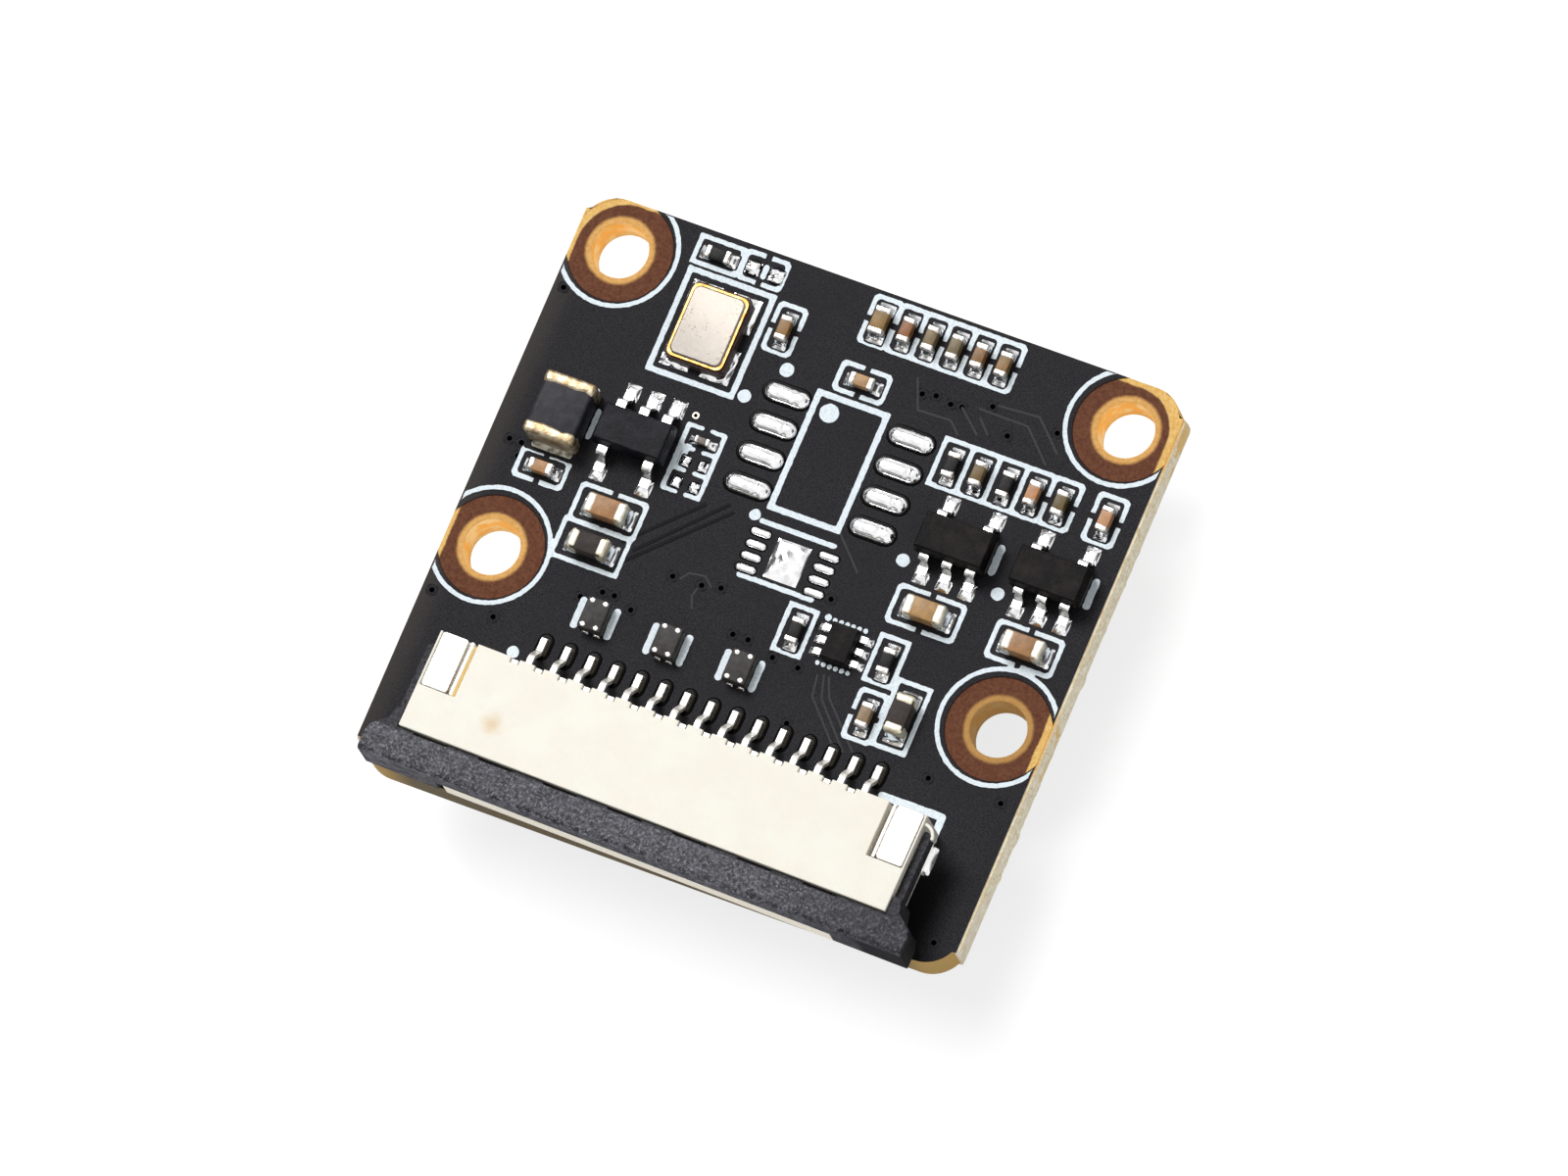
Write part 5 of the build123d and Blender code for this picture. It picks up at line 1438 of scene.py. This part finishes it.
# %% Vias
VIA_RING_R = 0.24 * MM
VIA_R = 0.1 * MM
VIA_PLACES = [
    (-11.97, 4.15), (2.64, 4.92), (3.17, 5.03), (3.82, 4.91), (4.27, 4.95), (5.37, 5.37), (6.34, 4.49),
    (8.09, 5.24), (-10.98, -2.6), (-11.05, -2.07), (-11.55, -2.07), (-3.51, -4.96), (-2.33, -4.91),
    (-1.59, -4.76), (-0.45, -6.28), (0.18, -6.28), (1.33, -6.6), (2.4, -6.65), (2.33, -4.87),
    (2.53, -3.73), (-5.79, -6.45), (-5.31, -6.43), (-4.5, -6.73), (-6.52, -6.9), (2.85, -8.8),
    (8.75, -8.93), (11.72, -8.9), (11.45, -14.77), (-9.35, -8.78), (-11.98, -8.6),
]
OPEN_VIA = (-5.18, 1.19)
rings = bmesh.new()
shade_wells = bmesh.new()


def disc(place, radius, rise_mm, rim_down=True, steps=(12, 10), fall=0.0):
    """Low round form. Fall is the share of its height that goes towards the rim."""
    def rise(u, v):
        return rise_mm * MM * max(0.0, 1 - fall * math.hypot(u, v) ** 3)

    x, y = (value * MM for value in place)
    return mound(x, y, BOARD_TOP, 2 * radius, 2 * radius, 0.0, rise, 0.95, steps, rim_down)


for place in VIA_PLACES:
    merge(rings, disc(place, VIA_RING_R, 0.006, fall=1.0))
    # Painted shade: a black disc in each via's middle stands for the shade in its dip.
    merge(shade_wells, disc(place, VIA_R, 0.009, False, (6, 6)))
add_piece("via_rings", rings, RING_MASK, sharp_deg=60)
bare_ring = disc(OPEN_VIA, 1.4 * VIA_R, 0.008)
add_piece("open_via_ring", bare_ring, BEAD_END, sharp_deg=60)
merge(shade_wells, disc(OPEN_VIA, 0.75 * VIA_R, 0.016, False, (6, 6)))
add_piece("via_wells", shade_wells, VIA_SHADE, sharp_deg=60)
print(len(VIA_PLACES) + 1, "vias")

# %% Tracks
TRACKS = [
    [(2.22, 5.47), (2.73, 4.27), (4.07, 4.32), (4.56, 3.87)], [(4.27, 4.95), (4.58, 4.69), (5.25, 4.11)],
    [(5.08, 4.81), (5.64, 4.25)], [(4.9, 5.12), (6.94, 5.1), (8.17, 3.91)],
    [(5.54, 5.47), (7.22, 5.59), (8.42, 4.46)], [(3.21, -6.63), (3.35, -7.48), (5.02, -9.21)],
    [(3.44, -6.54), (3.72, -7.45), (5.31, -9.11)], [(3.64, -6.54), (3.98, -7.32), (5.66, -8.99)],
    [(1.81, -1.18), (3.08, -2.44)], [(-3.2, -4.97), (-2.97, -4.64), (-2.33, -4.53), (-1.94, -4.88)],
    [(-2.43, -5.06), (-2.52, -5.42), (-2.31, -5.91)],
]
DARK_TRACKS = [
    [(-5.6, -5.12), (-2.28, -1.83)], [(-5.36, -4.57), (-2.56, -1.61)], [(-5.9, -4.4), (-3.4, -1.9)],
]


def track(points, width_mm, height_mm):
    """Low ribbon along a few points, with mitred corners."""
    shape = bmesh.new()
    line = [Vector((x * MM, y * MM, BOARD_TOP)) for x, y in points]
    sections = []
    for index, point in enumerate(line):
        before = ((point - line[index - 1]) if index else (line[1] - point)).normalized()
        last = index == len(line) - 1
        after = before if last else (line[index + 1] - point).normalized()
        along = (before + after).normalized()
        side = Vector((-along.y, along.x, 0)) / max(0.5, along.dot(before))
        half = side * width_mm * MM / 2
        lift = Vector((0, 0, height_mm * MM))
        profile = [point + half, point + half * 0.8 + lift, point - half * 0.8 + lift, point - half]
        sections.append([shape.verts.new(corner) for corner in profile])
    for first, second in zip(sections, sections[1:]):
        for index in range(4):
            onward = (index + 1) % 4
            shape.faces.new((first[index], first[onward], second[onward], second[index]))
    for ends in (sections[0], sections[-1]):
        shape.faces.new(ends)
    bmesh.ops.recalc_face_normals(shape, faces=shape.faces[:])
    return shape


tracks = bmesh.new()
for points in TRACKS:
    merge(tracks, track(points, 0.1, 0.014))
add_piece("copper_tracks", tracks, RAISED_MASK)
dark_tracks = bmesh.new()
for points in DARK_TRACKS:
    merge(dark_tracks, track(points, 0.16, 0.01))
add_piece("dark_copper_tracks", dark_tracks, DARK_TRACK)
print(len(TRACKS) + len(DARK_TRACKS), "tracks")

# %% [markdown]
# The snapped side. The board was broken off its neighbour along a score, so
# the middle of that side is torn glass fibre, and its outline is ragged. A
# bump would only shade it. A thin strip with real lumps breaks the outline.

# %% Torn fibre along the snapped side
def fibre():
    """Glass fibre: pale strands, with darker lumps and specks of resin, and a painted glow as of light
    coming through.
    """
    made = Finish("torn_fibre")
    strands = made.noise(0.09, 5.0, 0.8, (0.4, 0.3, 1.6))
    clumps = made.noise(0.35, 4.0, 0.7)
    specks = made.noise(0.13, 5.0, 0.8)
    pale = made.mix(made.curve(strands, 0.36, 0.62), tone(226, 208, 168), tone(254, 251, 240))
    pale = made.mix(made.curve(clumps, 0.52, 0.7, 0.0, 0.6), pale, tone(206, 184, 132))
    mottled = made.mix(made.curve(specks, 0.42, 0.6, 0.55, 0.0), pale, tone(186, 176, 140))
    made.set(
        Base_Color=mottled,
        # Painted glow: the fibre shines by its own emission.
        Emission_Color=mottled,
        Emission_Strength=0.42,
        Roughness=0.8,
        Specular_IOR_Level=0.2,
        Normal=made.bump(made.plus(strands, clumps), 0.04),
    )
    return made.material


TORN_Y = (-14.7 * MM, 7.3 * MM)
TORN_Z = (-0.62 * MM, 0.7 * MM)
TORN_X = 12.46 * MM
TORN_STEPS = 360
TORN_LEVELS = 10
torn = bmesh.new()
columns = []
for step in range(TORN_STEPS + 1):
    onward = step / TORN_STEPS
    y = TORN_Y[0] + (TORN_Y[1] - TORN_Y[0]) * onward
    column = []
    for level in range(TORN_LEVELS + 1):
        share = level / TORN_LEVELS
        z = TORN_Z[0] + (TORN_Z[1] - TORN_Z[0]) * share
        spot = Vector((0, y, z))
        out = 0.07 + 0.11 * wobble(spot, 0.6, 1.0) + 0.08 * wobble(spot, 0.2, 6.0)
        out *= min(1.0, 4 * share, 3 * (1 - share))
        fade = min(1.0, 8 * onward, 8 * (1 - onward))
        column.append(torn.verts.new((TORN_X + max(0.0, out * fade) * MM, y, z)))
    columns.append(column)
for first, second in zip(columns, columns[1:]):
    for level in range(TORN_LEVELS):
        torn.faces.new((first[level], second[level], second[level + 1], first[level + 1]))
add_piece("torn_side", torn, fibre(), sharp_deg=50)
print("torn side ready")

# %% [markdown]
# Stage. The board lies lens down on a pale table with a white surround. One
# large lamp stands high on the left, as in the photograph, so shadows fall to
# the right, and the surround fills them. The background is white because of
# what the camera sees, and not because of more light on the board. Under the
# board's near side the table is a little less white: a painted shadow in the
# table's finish, on top of the real one.

# %% Floor
FLOOR_HALF = 3.0
FLOOR_WHITE = 0.915
FLOOR_SHADE = 0.14


def floor_finish():
    """Pale matt table, which the camera sees nearly white, with a painted shadow under the board's near
    side.
    """
    made = Finish("pale_floor")
    x, y, z = made.axis()
    haze = made.noise(9.0)
    # Painted shadow: the table's white is lowered below the board's near side, left of its right end.
    below = made.curve(y, -18.0 * MM, -14.6 * MM)
    under = made.times(below, made.curve(x, 12.0 * MM, 14.5 * MM, 1.0, 0.0))
    white = made.minus(FLOOR_WHITE, made.times(under, FLOOR_SHADE))
    to_camera = made.add("ShaderNodeLightPath").outputs["Is Camera Ray"]
    made.set(
        Base_Color=made.mix(made.curve(haze, 0.3, 0.7), tone(150, 150, 152), tone(158, 158, 158)),
        Roughness=made.curve(haze, 0.3, 0.7, 0.85, 0.95),
        Emission_Color=(1, 1, 1, 1),
        Emission_Strength=made.times(to_camera, white),
    )
    return made.material


floor = bmesh.new()
bmesh.ops.create_grid(floor, x_segments=24, y_segments=24, size=FLOOR_HALF)
floor.transform(Matrix.Translation((0, 0, cad_low.z)))
floor_mesh = bpy.data.meshes.new("floor")
floor.to_mesh(floor_mesh)
floor.free()
floor_mesh.materials.append(floor_finish())
floor_piece = bpy.data.objects.new("floor", floor_mesh)
bpy.context.scene.collection.objects.link(floor_piece)
print("floor at", round(cad_low.z / MM, 2), "mm")

# %% World and lamps
SOFT_LIGHT = 0.33


def surround():
    """White to the camera. Mirrors see white overhead and soft boxes with dark gaps lower down."""
    world = bpy.data.worlds.new("surround")
    world.use_nodes = True
    bpy.context.scene.world = world
    tree = world.node_tree

    def value(kind, plugs, **settings):
        return add_node(tree, kind, plugs, **settings).outputs[0]

    def ramp(plugs):
        return value("ShaderNodeMapRange", plugs, interpolation_type="SMOOTHSTEP")

    ray = add_node(tree, "ShaderNodeLightPath", {}).outputs
    direction = add_node(tree, "ShaderNodeTexCoord", {}).outputs["Generated"]
    way = add_node(tree, "ShaderNodeSeparateXYZ", {0: direction}).outputs
    overhead = ramp({0: way["Z"], 1: 0.62, 2: 0.82})
    gaps = value("ShaderNodeTexNoise", {"Vector": direction, "Scale": 1.5, "Detail": 0.0})
    boxes = ramp({0: gaps, 1: 0.4, 2: 0.56, 3: 0.1, 4: 1.0})
    studio = value("ShaderNodeMath", {0: overhead, 1: boxes}, operation="MAXIMUM")
    seen = {0: ray["Is Camera Ray"], 1: ray["Is Transmission Ray"]}
    direct = value("ShaderNodeMath", seen, operation="MAXIMUM")
    mirrored = value("ShaderNodeMapRange", {0: ray["Is Glossy Ray"], 3: SOFT_LIGHT, 4: studio})
    level = value("ShaderNodeMapRange", {0: direct, 3: mirrored, 4: 1.0})
    background = tree.nodes["Background"].inputs
    plug(tree, background[0], (1.0, 1.0, 1.0, 1.0))
    plug(tree, background[1], level)


def lamp(name, place, size, watts):
    """Square lamp that points at the board."""
    data = bpy.data.lights.new(name, "AREA")
    data.size = size
    data.energy = watts
    made = bpy.data.objects.new(name, data)
    made.location = place
    made.rotation_mode = "QUATERNION"
    made.rotation_quaternion = (-Vector(place)).to_track_quat("-Z", "Y")
    bpy.context.scene.collection.objects.link(made)


surround()
lamp("key", (-0.3, 0.26, 0.62), 0.32, 4.35)
lamp("fill", (0.5, -0.3, 0.5), 0.5, 0.16)
print("stage set")

# %% Update the scene and set the view transform
bpy.context.view_layer.update()
bpy.context.scene.view_settings.view_transform = "Standard"
